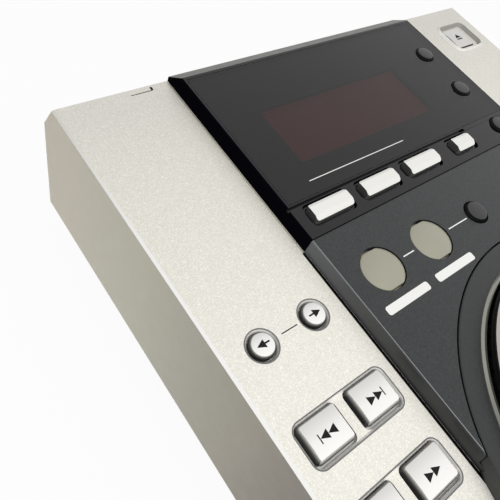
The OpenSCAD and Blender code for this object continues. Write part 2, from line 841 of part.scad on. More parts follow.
module case_screws() {
    color([0.12, 0.12, 0.13])
        for (sx = [-1, 1]) for (y = boss_ys) {
            place = [sx * boss_x, y];
            rod(place, screw_r, shell_z, shell_z + sheet_t + 11);
            difference() {
                rod(place, 3, shell_z - 1.8, shell_z);
                box(place[0] - 2, place[0] + 2, y - 0.4, y + 0.4, shell_z - 2.8, shell_z - 0.8);
                box(place[0] - 0.4, place[0] + 0.4, y - 2, y + 2, shell_z - 2.8, shell_z - 0.8);
            }
        }
}

// ---------- raised panel ----------

// Cross outline of the raised block, with bevelled top edges
module block_front(inset, low, high) {
    foot = panel_foot - inset;
    head = panel_half - inset;
    polygon([
        [panel_x - foot, low],
        [panel_x - head, high - panel_bevel],
        [panel_x - head + panel_bevel, high],
        [panel_x + head - panel_bevel, high],
        [panel_x + head, high - panel_bevel],
        [panel_x + foot, low]
    ]);
}

module control_panel() {
    back = display_y - cover_gap;
    color([0.33, 0.335, 0.335])
        difference() {
            union() {
                intersection() {
                    along_y(panel_front_y, back) block_front(0, deck_z, panel_z);
                    along_x(left_x, right_x)
                        polygon([[panel_front_y, deck_z], [panel_front_y + panel_front_run, panel_z],
                            [back, panel_z], [back, deck_z]]);
                }
                intersection() {
                    rod([panel_x, jog_y], skirt_r + ring_seat, deck_z, ring_z);
                    box(panel_x - panel_foot, panel_x + panel_foot, panel_front_y, back, deck_z - 1, panel_z);
                }
            }
            difference() {
                intersection() {
                    along_y(panel_front_y + panel_t, back - panel_t) block_front(panel_t, deck_z - 1, panel_under);
                    along_x(left_x, right_x)
                        polygon([[panel_front_y + panel_t, deck_z - 1],
                            [panel_front_y + panel_t + panel_front_run, panel_under],
                            [back - panel_t, panel_under], [back - panel_t, deck_z - 1]]);
                }
                rod([panel_x, jog_y], ring_r + ring_groove + panel_t, deck_z - 2, panel_z);
            }
            rod([panel_x, jog_y], ring_r + ring_groove, ring_z, panel_z + 1);
            rod([panel_x, jog_y], skirt_r + cover_gap, deck_z - 1, ring_z + 1);
            for (p = loop_places) round_hole(p, loop_r, panel_under - 1, panel_z + 1);
            round_hole(reloop_place, reloop_r, panel_under - 1, panel_z + 1);
        }
}

// Side outline of the display housing
module display_side(inset, low) {
    high = face_z - inset;
    polygon([
        [display_y + inset, low],
        [display_y + inset, strip_z - inset],
        [trough_y, strip_z - inset],
        [trough_y, high],
        [deck_back_y - display_rear_run - inset, high],
        [deck_back_y - inset, high - display_rear_drop],
        [deck_back_y - inset, low]
    ]);
}

module display_keys_cut() {
    z0 = face_under - 1;
    z1 = face_z + 1;
    for (p = effect_places) effect_hole(p, effect_w, well_margin, z0, z1);
    effect_hole(hold_place, hold_w, hold_margin, z0, z1);
    for (p = mode_places) round_hole(p, mode_r, z0, z1);
}

// Hole of an effect key with the well round it, which has the given margin at its sides
module effect_hole(place, w, margin, z0, z1) {
    bar_hole(place, w, effect_d, bar_corner, z0, z1);
    recess(place, w + 2 * margin, effect_d + 2 * well_margin, 2, strip_z, well_depth, (well_margin - key_clear) / 2);
}

module display_bezel() {
    color([0.1, 0.1, 0.105])
        difference() {
            intersection() {
                along_y(display_y, deck_back_y) block_front(0, deck_z, face_z);
                along_x(left_x, right_x) display_side(0, deck_z);
            }
            intersection() {
                along_y(display_y, deck_back_y) block_front(panel_t, deck_z - 1, face_under);
                along_x(left_x, right_x)
                    polygon([[display_y + display_wall, deck_z - 1], [display_y + display_wall, face_under],
                        [deck_back_y - display_rear_run - panel_t, face_under],
                        [deck_back_y - panel_t, deck_z - 1]]);
            }
            window_outline(0, face_z - window_t, face_z + 1);
            box(panel_x - panel_foot - 1, hold_place[0] + hold_w / 2 + hold_margin, trough_y, trough_y + strip_gap,
                strip_z - well_depth, face_z + 1);
            translate(concat(at(lit_from_left, lit_from_back), 0)) up(face_under - 1, face_z + 1)
                rounded(lit_w, lit_d, 1);
            display_keys_cut();
        }
}

// The smoked window's body, moved in by a gap
module window_outline(gap, z0, z1) {
    box(panel_x - panel_half + window_border + gap, panel_x + panel_half - window_border - gap,
        trough_y + strip_gap + window_border / 2 + gap, deck_back_y - display_rear_run - window_border - gap, z0, z1);
}

module display_window() {
    color([0.12, 0.1, 0.1, 0.8])
        difference() {
            window_outline(0.1, face_z - window_t, face_z);
            display_keys_cut();
        }
}

module display_tube() {
    glass_t = 4;
    glass_margin = 3;
    holder_margin = 4;
    holder_wall = 2;
    glass_top = face_under - 0.3;
    glass_low = glass_top - glass_t;
    color([0.3, 0.12, 0.1])
        translate(concat(at(lit_from_left, lit_from_back), 0)) {
            up(glass_low, glass_top) rounded(lit_w + 2 * glass_margin, lit_d + 2 * glass_margin, 1);
            difference() {
                up(board_top, glass_low) rounded(lit_w + 2 * holder_margin, lit_d + 2 * holder_margin, 1);
                up(board_top - 1, glass_low - holder_wall)
                    rounded(lit_w + 2 * (holder_margin - holder_wall), lit_d + 2 * (holder_margin - holder_wall), 1);
            }
        }
}

// ---------- jog wheel ----------

module jog_bezel() {
    color([0.3, 0.305, 0.305])
        translate([panel_x, jog_y, 0]) {
            rotate_extrude($fn = 128)
                polygon([
                    [skirt_r, ring_z], [ring_r, ring_z], [ring_r, ring_top - ring_edge], [ring_r - ring_edge, ring_top],
                    [lip_r + lip_foot, ring_top], [lip_r, ring_top + lip_h], [well_r + ring_edge, ring_top + lip_h],
                    [well_r, ring_top + lip_h - ring_edge], [well_r, deck_under + 0.5], [skirt_r, deck_under + 0.5]
                ]);
            difference() {
                rod([0, 0], ring_r, deck_z, ring_z + ring_edge);
                box(-panel_foot - cover_gap, panel_foot + cover_gap, -ring_r, ring_r, deck_z - 1, panel_z);
                rod([0, 0], skirt_r + ring_seat + cover_gap, deck_z - 1, ring_z);
            }
        }
}

module jog_bearing() {
    half = max(opening_half, skirt_r) + 8;
    strap_half = 10;
    color([0.62, 0.62, 0.6])
        translate([panel_x, jog_y, 0])
            difference() {
                union() {
                    box(-half, half, -strap_half, strap_half, strap_z, deck_under);
                    rod([0, 0], jog_shaft_r + 5, bearing_low, bearing_top);
                    rod([0, 0], jog_shaft_r + 9, strap_z - 1, strap_z);
                }
                rod([0, 0], jog_shaft_r + run_gap, bearing_low - 1, bearing_top + 1);
            }
}

module jog_shaft() {
    color([0.75, 0.75, 0.76])
        translate([panel_x, jog_y, 0]) {
            rod([0, 0], jog_shaft_r, encoder_z - 3, jog_web_z);
            rod([0, 0], jog_shaft_r - 0.6, encoder_z - 4, encoder_z - 3);
        }
}

module encoder_disc() {
    color([0.2, 0.2, 0.22])
        translate([panel_x, jog_y, 0])
            difference() {
                union() {
                    rod([0, 0], encoder_r, encoder_z, encoder_z + 0.8);
                    rod([0, 0], jog_shaft_r + 3, encoder_z - 1.5, encoder_z + 3);
                }
                rod([0, 0], jog_shaft_r, encoder_z - 2, encoder_z + 4);
                for (i = [0:encoder_slots - 1]) rotate([0, 0, i * 360 / encoder_slots])
                    box(encoder_r - encoder_slot, encoder_r - 1, -0.6, 0.6, encoder_z - 1, encoder_z + 1);
            }
}

module jog_sensor() {
    x0 = encoder_r - encoder_slot - 1;
    x1 = encoder_r + 5;
    color([0.1, 0.1, 0.11])
        translate([panel_x, jog_y, 0])
            difference() {
                box(x0, x1, -4, 4, encoder_z - 2.5, strap_z);
                box(x0 - 1, encoder_r + 1.5, -5, 5, encoder_z - 1, encoder_z + 1.8);
            }
}

module jog_rim() {
    rim_r = jog_r - 1.2;
    color([0.08, 0.08, 0.085])
        translate([panel_x, jog_y, 0])
            difference() {
                rotate_extrude($fn = 128)
                    polygon([
                        [jog_shaft_r, bearing_top + 0.2], [jog_shaft_r + 5, bearing_top + 0.2],
                        [jog_shaft_r + 6, jog_web_z - 2.4], [rim_r - 2.5, jog_web_z - 2.4],
                        [rim_r - 2.5, deck_z + 1], [rim_r, deck_z + 1], [rim_r, jog_web_z],
                        [jog_shaft_r, jog_web_z]
                    ]);
                for (i = [0:59]) rotate([0, 0, i * 6]) rod([rim_r + 0.4, 0], 0.9, deck_z, jog_web_z - 1);
            }
}

module jog_plate() {
    edge = 0.6;
    band_r = jog_r - 7;
    dimple_depth = 1.2;
    dimple_ball = (dimple_r * dimple_r + dimple_depth * dimple_depth) / (2 * dimple_depth);
    color([0.66, 0.63, 0.6])
        translate([panel_x, jog_y, 0])
            difference() {
                rotate_extrude($fn = 128)
                    union() {
                        polygon([
                            [0, jog_web_z], [jog_r - 0.4, jog_web_z], [jog_r, jog_web_z + 0.4],
                            [jog_r, jog_top - edge], [jog_r - edge, jog_top - edge], [jog_r - edge, jog_top],
                            [band_r, jog_top], [band_r - 1.5, jog_top - 0.6], [0, jog_top - 0.6]
                        ]);
                        translate([jog_r - edge, jog_top - edge]) circle(r = edge, $fn = 32);
                    }
                translate([band_r - dimple_r - 7, 0, jog_top - dimple_depth + dimple_ball])
                    sphere(r = dimple_ball, $fn = 64);
            }
}

// ---------- boards ----------

module panel_board() {
    color([0.1, 0.32, 0.16]) {
        difference() {
            union() {
                box(left_x + board_edge, right_x - board_edge, board_front, board_back, board_z, board_top);
                box(left_x + board_edge, left_x + left_strip_w + 3, play_place[1] - 20, board_front, board_z, board_top);
                box(panel_x + panel_foot, right_x - board_edge, hold_tempo_place[1] - 22, board_front, board_z,
                    board_top);
            }
            for (p = board_bosses) rod(p, 1.2, board_z - 1, board_top + 1);
        }
        for (p = key_places) {
            box(p[0] - switch_half, p[0] + switch_half, p[1] - switch_half, p[1] + switch_half, board_top,
                switch_top - 0.5);
            rod(p, 1.6, switch_top - 0.5, switch_top);
        }
        for (x = [-50, 26]) box(x, x + 24, board_back - 12, board_back - 4, board_z - 5, board_z);
    }
}

module main_board() {
    low = floor_z + standoff_h;
    top = low + board_t;
    color([0.1, 0.32, 0.16]) {
        difference() {
            box(main_left, main_right, main_front, main_back, low, top);
            for (p = damper_places) rod(p, pillar_r + 1, low - 1, top + 1);
        }
        translate([main_left, main_front, top]) {
            translate([42, 62, 0]) cube([26, 26, 2]);
            translate([92, 38, 0]) cube([20, 20, 1.6]);
            translate([92, 82, 0]) cube([16, 16, 1.6]);
            translate([10, 26, 0]) cube([12, 56, 8]);
            translate([120, 62, 0]) cube([8, 48, 8]);
            for (i = [0:2]) translate([42, 102 + i * 12, 0]) cylinder(r = 3, h = 9);
        }
    }
}

module power_supply() {
    low = floor_z + standoff_h;
    top = low + board_t;
    color([0.55, 0.5, 0.3]) {
        box(supply_left, supply_right, supply_front, supply_back, low, top);
        translate([supply_left + 40, supply_front + 4, top]) {
            cube([44, 40, 34]);
            translate([-4, 10, 8]) cube([52, 20, 18]);
        }
        for (x = [10, 26]) rod([supply_left + x, supply_front + 12], 6.5, top, top + 24);
        translate([supply_left + 4, supply_front + 26, top]) cube([28, 3, 26]);
        difference() {
            box(power_x - 8, power_x + 8, supply_back - 30, switch_back, top, socket_z + 8);
            box(power_x - stem_half - key_clear, power_x + stem_half + key_clear, supply_back - 16, switch_back + 1,
                socket_z - stem_half - key_clear, socket_z + stem_half + key_clear);
        }
    }
}

module power_button() {
    color([0.09, 0.09, 0.095]) {
        box(power_x - stem_half, power_x + stem_half, supply_back - 12, button_back, socket_z - stem_half,
            socket_z + stem_half);
        intersection() {
            along_y(button_back, rear_wall_y + button_proud)
                translate([power_x, socket_z]) rounded(button_w, button_h, 1);
            rod_x_way(rear_wall_y + button_proud - 30, socket_z, 30, power_x - button_w, power_x + button_w);
        }
    }
}

// ---------- sockets ----------

module rca_jacks() {
    color([0.8, 0.8, 0.8]) {
        x0 = audio_xs[0] - 8;
        x1 = audio_xs[2] + 8;
        difference() {
            box(x0, x1, rear_inner_y - 12, rear_inner_y, floor_z + 0.6, socket_z + 9);
            for (x = audio_xs) rod_y(x, socket_z, 1.6, rear_inner_y - 9, rear_inner_y + 1);
        }
        for (x = audio_xs)
            difference() {
                union() {
                    rod_y(x, socket_z, audio_r + 1, rear_inner_y, rear_wall_y + 0.2);
                    rod_y(x, socket_z, audio_r, rear_wall_y + 0.2, rear_wall_y + 0.2 + audio_len);
                }
                rod_y(x, socket_z, 1.6, rear_inner_y - 1, rear_wall_y + audio_len + 1);
            }
    }
}

module control_jack() {
    mouth = rear_wall_y + socket_lip;
    color([0.08, 0.08, 0.085])
        difference() {
            union() {
                box(jack_x - 5, jack_x + 5, rear_inner_y - 14, rear_inner_y, floor_z + 0.6, socket_z + 5);
                rod_y(jack_x, socket_z, 4, rear_inner_y, mouth);
            }
            rod_y(jack_x, socket_z, jack_r, mouth - jack_len, mouth + 1);
        }
}

module inlet_body(gap, y0, y1) {
    along_y(y0, y1) translate([inlet_x, socket_z]) rounded(inlet_w + 6 + 2 * gap, inlet_h + 6 + 2 * gap, 2);
}

module ac_inlet() {
    mouth = rear_wall_y + socket_lip;
    color([0.06, 0.06, 0.065])
        difference() {
            union() {
                inlet_body(0, rear_inner_y - 16, rear_wall_y);
                inlet_body(socket_lip, rear_wall_y, mouth);
            }
            along_y(mouth - inlet_depth, mouth + 1) translate([inlet_x, socket_z]) rounded(inlet_w, inlet_h, 5);
        }
    color([0.8, 0.8, 0.8])
        for (sx = [-1, 1]) rod_y(inlet_x + sx * 4.3, socket_z, 1.2, mouth - inlet_depth - 1, mouth - 3);
}

// ---------- tempo slider ----------

module tempo_base() {
    reach = tempo_travel / 2 + lever_d / 2 + 1;
    slot_half = lever_w / 2 + 0.4;
    color([0.55, 0.55, 0.56])
        difference() {
            box(tempo_x - slider_half, tempo_x + slider_half, tempo_y - reach - slider_end,
                tempo_y + reach + slider_end, deck_under - lever_depth - 2, deck_under);
            box(tempo_x - slot_half, tempo_x + slot_half, tempo_y - reach, tempo_y + reach,
                deck_under - lever_depth, deck_under + 1);
        }
}

module tempo_knob() {
    low = deck_z + 0.3;
    top = low + knob_h;
    color([0.1, 0.1, 0.105]) {
        box(tempo_x - lever_w / 2, tempo_x + lever_w / 2, tempo_y - lever_d / 2, tempo_y + lever_d / 2,
            deck_under - lever_depth + key_clear, low);
        difference() {
            along_x(tempo_x - knob_w / 2, tempo_x + knob_w / 2)
                polygon([
                    [tempo_y - knob_d / 2, low], [tempo_y + knob_d / 2, low],
                    [tempo_y + knob_d / 2 - 1.6, top], [tempo_y - knob_d / 2 + 1.6, top]
                ]);
            rod_x_way(tempo_y, top + 5.2, 6, tempo_x - knob_w, tempo_x + knob_w);
            box(tempo_x - knob_w, tempo_x + knob_w, tempo_y - 0.3, tempo_y + 0.3, top - 1.4, top + 1);
        }
    }
}

// ---------- disc drive ----------

module slot_felts() {
    y0 = front_y + case_wall;
    color([0.05, 0.05, 0.05]) {
        box(drive_x - way_half - 1, drive_x + way_half + 1, y0, y0 + 1.6, way_z - 4.5, way_z - 0.2);
        box(drive_x - way_half - 1, drive_x + way_half + 1, y0, y0 + 1.6, way_top + 0.2, way_top + 4.5);
    }
}

module rod_post(x, y) {
    box(drive_x + x - 3, drive_x + x + 3, y, y + 3, frame_floor, rod_z + 3);
}

module mech_frame() {
    rod_ends = [sled_front - 6, sled_front + sled_len + sled_travel + 3];
    color([0.7, 0.7, 0.72])
        difference() {
            union() {
                box(drive_x - wall_in - frame_wall, drive_x + wall_in + frame_wall, frame_front, frame_back,
                    frame_low, frame_floor);
                box(drive_x - wall_in - frame_wall, drive_x + wall_in + frame_wall, frame_front, frame_back,
                    guide_z, guide_z + frame_wall);
                for (sx = [-1, 1])
                    box(drive_x + sx * (wall_in + frame_wall / 2) - frame_wall / 2,
                        drive_x + sx * (wall_in + frame_wall / 2) + frame_wall / 2,
                        frame_front, frame_back, frame_floor, guide_z);
                for (x = [-rod_x, rod_x]) for (y = rod_ends) rod_post(x, y);
                rod_x_way(idler_y, roller_z, shaft_r, drive_x + wall_in + frame_wall, gear_x + gear_t + 0.5);
            }
            rod([drive_x, drive_y], clamper_r + 2, guide_z - 1, guide_z + frame_wall + 1);
            rod([sled_pinion_x, sled_pinion_y], 2, frame_low - 1, frame_floor + 1);
            for (sx = [-1, 1])
                rod_x_way(roller_y, roller_z, shaft_r + run_gap, drive_x + sx * (wall_in + 0.75) - 2,
                    drive_x + sx * (wall_in + 0.75) + 2);
            rod_x_way(pinion_y, pinion_z, 2.2, drive_x + wall_in - 1, drive_x + wall_in + frame_wall + 1);
            for (x = [-rod_x, rod_x]) rod_y(drive_x + x, rod_z, rod_r, rod_ends[0], rod_ends[1] + 3);
            for (p = damper_places) rod(p, 2.6, frame_low - 1, frame_floor + 1);
            box(drive_x - 40, drive_x - 26, drive_y + 20, frame_back - 12, frame_low - 1, frame_floor + 1);
        }
}

module mech_dampers() {
    color([0.1, 0.1, 0.1])
        for (p = damper_places) {
            rod(p, pillar_r, frame_low - damper_h, frame_low);
            rod(p, 2.5, frame_low, frame_floor + 1);
            rod(p, 3.6, frame_floor, frame_floor + 1.2);
        }
}

module guide_rods() {
    y0 = sled_front - 6;
    y1 = sled_front + sled_len + sled_travel + 6;
    color([0.8, 0.8, 0.81]) for (x = [-rod_x, rod_x]) rod_y(drive_x + x, rod_z, rod_r, y0, y1);
}

module pickup_carriage() {
    y0 = sled_front;
    y1 = sled_front + sled_len;
    c = (y0 + y1) / 2;
    low = frame_floor + 5;
    top = frame_floor + 12.4;
    rack_low = frame_floor + 3;
    rack_pitch = PI * sled_module;
    color([0.16, 0.16, 0.18]) {
        difference() {
            union() {
                box(drive_x - rod_x - 4, drive_x + rod_x + 4, y0, y1, low, top);
                rod([drive_x, c], 4, top, top + 1.2);
            }
            for (x = [-rod_x, rod_x]) rod_y(drive_x + x, rod_z, rod_r + run_gap, y0 - 1, y1 + 1);
            rod([drive_x, c], 2.6, top - 1, top + 2);
        }
        box(drive_x + rod_x + 4, rack_x - 1.25 * sled_module, y0, y1, low, low + 3);
        up(low, low + 3) rack_outline(rack_pitch);
    }
}

// Rack along Y with one tooth space at the pinion
module rack_outline(pitch) {
    first = sled_pinion_y - sled_travel - 2.5 * pitch;
    last = sled_pinion_y + 2 * pitch;
    count = floor((last - first) / pitch);
    root = rack_x - 1.25 * sled_module;
    tip = rack_x + 0.9 * sled_module;
    translate([root - 3, first - pitch / 2]) square([3, (count + 1) * pitch]);
    for (i = [0:count]) {
        y = sled_pinion_y - (count - 2 - i + 0.5) * pitch;
        polygon([[root - 0.5, y - 0.33 * pitch], [root, y - 0.33 * pitch], [tip, y - 0.09 * pitch],
            [tip, y + 0.09 * pitch], [root, y + 0.33 * pitch], [root - 0.5, y + 0.33 * pitch]]);
    }
}

module sled_pinion() {
    low = frame_floor + 4.5;
    color([0.85, 0.83, 0.75])
        translate([sled_pinion_x, sled_pinion_y, 0]) {
            up(low, low + 4) gear_outline(sled_teeth, sled_module, 180, gear_clear);
            rod([0, 0], 1, frame_low - 6, low);
        }
}

module sled_motor() {
    color([0.6, 0.6, 0.62])
        difference() {
            rod([sled_pinion_x, sled_pinion_y], 8, frame_low - 10, frame_low);
            rod([sled_pinion_x, sled_pinion_y], 1 + run_gap, frame_low - 7, frame_low + 1);
        }
}

module spindle_motor() {
    color([0.6, 0.6, 0.62])
        difference() {
            union() {
                rod([drive_x, drive_y], turntable_r - 2, frame_floor, platter_z - 3);
                rod([drive_x, drive_y], 4, platter_z - 3, platter_z - 1.8);
            }
            rod([drive_x, drive_y], 1 + run_gap, frame_floor + 2, platter_z);
        }
}

module turntable() {
    color([0.15, 0.15, 0.16])
        translate([drive_x, drive_y, 0]) {
            rod([0, 0], turntable_r, platter_z - 1.6, platter_z);
            translate([0, 0, platter_z]) cylinder(r1 = 7.4, r2 = 6.2, h = 1.8);
            rod([0, 0], 1, frame_floor + 2.5, platter_z - 1.6);
        }
}

module disc_clamper() {
    color([0.85, 0.85, 0.83])
        translate([drive_x, drive_y, 0]) {
            rod([0, 0], clamper_r, guide_z - 0.1, guide_z + frame_wall + 0.1);
            difference() {
                rod([0, 0], clamper_r + 4, guide_z + frame_wall + 0.1, guide_z + frame_wall + 2.2);
                rod([0, 0], 6, guide_z + frame_wall + 1, guide_z + frame_wall + 3);
            }
        }
}

module loading_roller() {
    half = way_half - 1;
    color([0.12, 0.12, 0.12]) {
        rod_x_way(roller_y, roller_z, shaft_r, drive_x - wall_in - frame_wall - 1, gear_x + gear_t);
        rod_x_way(roller_y, roller_z, roller_r - rib_h, drive_x - half, drive_x + half);
        for (i = [-7:7]) rod_x_way(roller_y, roller_z, roller_r, drive_x + i * rib_pitch - rib_w / 2,
            drive_x + i * rib_pitch + rib_w / 2);
        along_x(gear_x, gear_x + gear_t) translate([roller_y, roller_z])
            gear_outline(roller_teeth, load_module, 0, gear_clear);
    }
}

module idler_gear() {
    idler_angle = mesh_angle(roller_teeth, 0, 0, idler_teeth);
    color([0.85, 0.83, 0.75])
        along_x(gear_x, gear_x + gear_t) translate([idler_y, roller_z])
            difference() {
                gear_outline(idler_teeth, load_module, idler_angle, gear_clear);
                circle(r = shaft_r + run_gap);
            }
}

module motor_pinion() {
    idler_angle = mesh_angle(roller_teeth, 0, 0, idler_teeth);
    angle = mesh_angle(idler_teeth, idler_angle, pinion_angle, pinion_teeth);
    color([0.8, 0.7, 0.4]) {
        along_x(gear_x, gear_x + gear_t) translate([pinion_y, pinion_z])
            gear_outline(pinion_teeth, load_module, angle, gear_clear);
        rod_x_way(pinion_y, pinion_z, 1, drive_x + wall_in - 12, gear_x);
    }
}

module loading_motor() {
    color([0.6, 0.6, 0.62])
        difference() {
            rod_x_way(pinion_y, pinion_z, 7, drive_x + wall_in - 22, drive_x + wall_in);
            rod_x_way(pinion_y, pinion_z, 1 + run_gap, drive_x + wall_in - 13, drive_x + wall_in + 1);
        }
}

// ---------- keys, one node each ----------

silver = [0.88, 0.87, 0.84];
dark = [0.08, 0.08, 0.085];
white = [0.92, 0.92, 0.9];
beige = [0.67, 0.66, 0.58];
deck_key_top = deck_z + deck_key_proud;
trough_z = deck_z - trough_depth;
panel_key_low = panel_z - key_inset;
face_key_low = face_z - key_inset;
effect_top = strip_z + effect_proud;

module deck_round(p, r) { color(silver) round_key(p, r, deck_under, trough_z, deck_key_top); }
module folder_back_key() { deck_round(folder_places[0], folder_r); }
module folder_forward_key() { deck_round(folder_places[1], folder_r); }
module search_key(p) {
    color(silver) square_key(p, search_w, search_d, deck_under, trough_z, deck_key_top, search_lean, search_shift);
}
module track_back_key() { search_key(track_places[0]); }
module track_forward_key() { search_key(track_places[1]); }
module search_back_key() { search_key(search_places[0]); }
module search_forward_key() { search_key(search_places[1]); }
module cue_key() { deck_round(cue_place, play_r); }
module play_key() { deck_round(play_place, play_r); }
module eject_key() { color(silver) square_key(eject_place, eject_w, eject_d, deck_under, trough_z, deck_z, 0.5, 0); }
module mode_key(p) { color(dark) round_key(p, mode_r, face_under, face_key_low, face_z + mode_proud); }
module text_key() { mode_key(mode_places[0]); }
module time_key() { mode_key(mode_places[1]); }
module auto_cue_key() { mode_key(mode_places[2]); }
module effect_key_1() { color(white) bar_key(effect_places[0], effect_w, effect_d, face_under, effect_top); }
module effect_key_2() { color(white) bar_key(effect_places[1], effect_w, effect_d, face_under, effect_top); }
module effect_key_3() { color(white) bar_key(effect_places[2], effect_w, effect_d, face_under, effect_top); }
module hold_key() { color(white) bar_key(hold_place, hold_w, effect_d, face_under, effect_top); }
module loop_in_key() { color(beige) loop_key(loop_places[0]); }
module loop_out_key() { color(beige) loop_key(loop_places[1]); }
module reloop_key() { color(dark) round_key(reloop_place, reloop_r, panel_under, panel_key_low, panel_z + mode_proud); }
module tempo_key(p) { color(silver) square_key(p, small_key[0], small_key[1], deck_under, trough_z, deck_key_top, 0.7, 0); }
module tempo_range_key() { tempo_key(range_place); }
module master_tempo_key() { tempo_key(hold_tempo_place); }

top_cover();
bottom_case();
control_panel();
display_bezel();
display_window();
display_tube();
jog_bezel();
jog_bearing();
jog_sensor();
main_board();
panel_board();
power_supply();
mech_frame();
mech_dampers();
loading_motor();
spindle_motor();
sled_motor();
guide_rods();
slot_felts();
rca_jacks();
control_jack();
ac_inlet();
tempo_base();
rubber_feet();
case_screws();
eject_pin();
jog_plate();
jog_rim();
jog_shaft();
encoder_disc();
tempo_knob();
power_button();
turntable();
disc_clamper();
loading_roller();
idler_gear();
motor_pinion();
pickup_carriage();
sled_pinion();
folder_back_key();
folder_forward_key();
track_back_key();
track_forward_key();
search_back_key();
search_forward_key();
cue_key();
play_key();
eject_key();
text_key();
time_key();
auto_cue_key();
effect_key_1();
effect_key_2();
effect_key_3();
hold_key();
loop_in_key();
loop_out_key();
reloop_key();
tempo_range_key();
master_tempo_key();
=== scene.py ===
import json
import math

import bmesh
import bpy
from mathutils import Matrix, Vector
from mathutils.bvhtree import BVHTree


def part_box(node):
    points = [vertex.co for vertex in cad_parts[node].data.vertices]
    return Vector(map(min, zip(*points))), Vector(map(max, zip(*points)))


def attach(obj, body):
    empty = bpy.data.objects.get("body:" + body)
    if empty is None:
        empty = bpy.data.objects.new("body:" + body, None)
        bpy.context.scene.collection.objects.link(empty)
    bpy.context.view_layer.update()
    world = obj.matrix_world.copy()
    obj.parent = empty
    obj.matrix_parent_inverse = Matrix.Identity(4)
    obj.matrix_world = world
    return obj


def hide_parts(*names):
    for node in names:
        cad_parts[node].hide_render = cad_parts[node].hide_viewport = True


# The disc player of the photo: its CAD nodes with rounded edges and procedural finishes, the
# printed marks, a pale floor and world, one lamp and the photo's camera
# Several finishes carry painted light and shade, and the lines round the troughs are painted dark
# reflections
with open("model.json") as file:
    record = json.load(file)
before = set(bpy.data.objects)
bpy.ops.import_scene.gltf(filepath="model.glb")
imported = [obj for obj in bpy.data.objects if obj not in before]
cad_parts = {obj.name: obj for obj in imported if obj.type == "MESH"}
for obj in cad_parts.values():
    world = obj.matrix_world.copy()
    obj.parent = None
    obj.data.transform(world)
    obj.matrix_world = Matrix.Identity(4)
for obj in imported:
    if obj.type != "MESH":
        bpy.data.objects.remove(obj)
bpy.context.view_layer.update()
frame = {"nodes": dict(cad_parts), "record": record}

MM = 0.001
RECORD = frame["record"]
SLOT_OF = {part["node"]: part["material_slot"] for part in RECORD["subparts"]}
BODY_OF = {node: body for body, nodes in RECORD["behaviour"]["bodies"].items() for node in nodes}

# The camera, solved from the deck's corners and keys
CAMERA_PLACE = Vector((-160.76, 14.05, 224.76)) * MM
CAMERA_TARGET = Vector((-81.23, 65.21, 96.0)) * MM
CAMERA_ROLL = math.radians(25.475)
LENS_MM = 38.095
SENSOR_MM = 36.0

# Light: one lamp above the deck, a dim world, and a floor that rays from the camera see as white
LAMP_PLACE = (-0.1, -0.2, 0.7)
LAMP_TARGET = (0, 0, 0.08)
LAMP_SIZE = 0.55
LAMP_WATTS = 4.0
LAMP_COLOR = (1.0, 0.985, 0.96)
WORLD_COLOR = (0.95, 0.97, 1.0)
WORLD_LIGHT = 0.36
FLOOR_SIZE = 8
FLOOR_COLOR = (0.75, 0.75, 0.75)
FLOOR_GLOW_SHARE = 0.95

# Welding distance for the triangles of a CAD mesh, and the angle below which two faces are one
WELD = 2e-6
FLAT = math.radians(0.6)

# Edges sharper than this are rounded
SHARP = math.radians(38)
SHARP_ON_DISPLAY = math.radians(20)
SHARP_ON_WHITE_KEYS = math.radians(8)


# ---------- shader nodes ----------

def add_node(material, kind, **values):
    """A shader node of a material or a world, with the given socket values."""
    node = material.node_tree.nodes.new(kind)
    for name, value in values.items():
        node.inputs[name.replace("_", " ")].default_value = value
    return node


def link(material, output, target):
    material.node_tree.links.new(output, target)


def combine(material, kind, operation, first, second):
    """Two sockets brought together by a maths node."""
    node = add_node(material, kind)
    node.operation = operation
    link(material, first, node.inputs[0])
    link(material, second, node.inputs[1])
    return node.outputs[0]


def surface(name, color, roughness, **sockets):
    """A Principled material, and its shader node."""
    material = bpy.data.materials.new(name)
    material.use_nodes = True
    shader = material.node_tree.nodes["Principled BSDF"]
    shader.inputs["Base Color"].default_value = (*color, 1)
    shader.inputs["Roughness"].default_value = roughness
    for socket, value in sockets.items():
        shader.inputs[socket.replace("_", " ")].default_value = value
    return material, shader


def coordinates(material, **changes):
    """Object coordinates, moved by a Location or stretched by a Scale."""
    source = add_node(material, "ShaderNodeTexCoord")
    mapping = add_node(material, "ShaderNodeMapping", **changes)
    link(material, source.outputs["Object"], mapping.inputs["Vector"])
    return mapping.outputs["Vector"]


def ramp(material, value, stops):
    """A colour ramp over a value, from a list of (place, colour)."""
    node = material.node_tree.nodes.new("ShaderNodeValToRGB")
    elements = node.color_ramp.elements
    while len(elements) < len(stops):
        elements.new(0.5)
    for element, (place, color) in zip(elements, stops):
        element.position = place
        element.color = (*color, 1)
    link(material, value, node.inputs["Fac"])
    return node.outputs["Color"]


def grade(material, stops, axis, low, high, space="Object"):
    """A colour that follows one axis from low to high, from a list of (place, colour)."""
    source = add_node(material, "ShaderNodeTexCoord")
    parts = add_node(material, "ShaderNodeSeparateXYZ")
    link(material, source.outputs[space], parts.inputs["Vector"])
    reach = add_node(material, "ShaderNodeMapRange", From_Min=low, From_Max=high)
    link(material, parts.outputs[axis], reach.inputs["Value"])
    return ramp(material, reach.outputs["Result"], stops)


def noise(material, vector, scale, detail=3.0):
    node = add_node(material, "ShaderNodeTexNoise", Scale=scale, Detail=detail)
    link(material, vector, node.inputs["Vector"])
    return node.outputs["Fac"]


def tint(color, factor):
    return tuple(min(c * factor, 1.0) for c in color)


def mottle(material, shader, vector, color, scale, spread):
    """Slow change of colour over the surface."""
    shades = ramp(material, noise(material, vector, scale), [
        (0.3, tint(color, 1 - spread)), (0.7, tint(color, 1 + spread))])
    link(material, shades, shader.inputs["Base Color"])


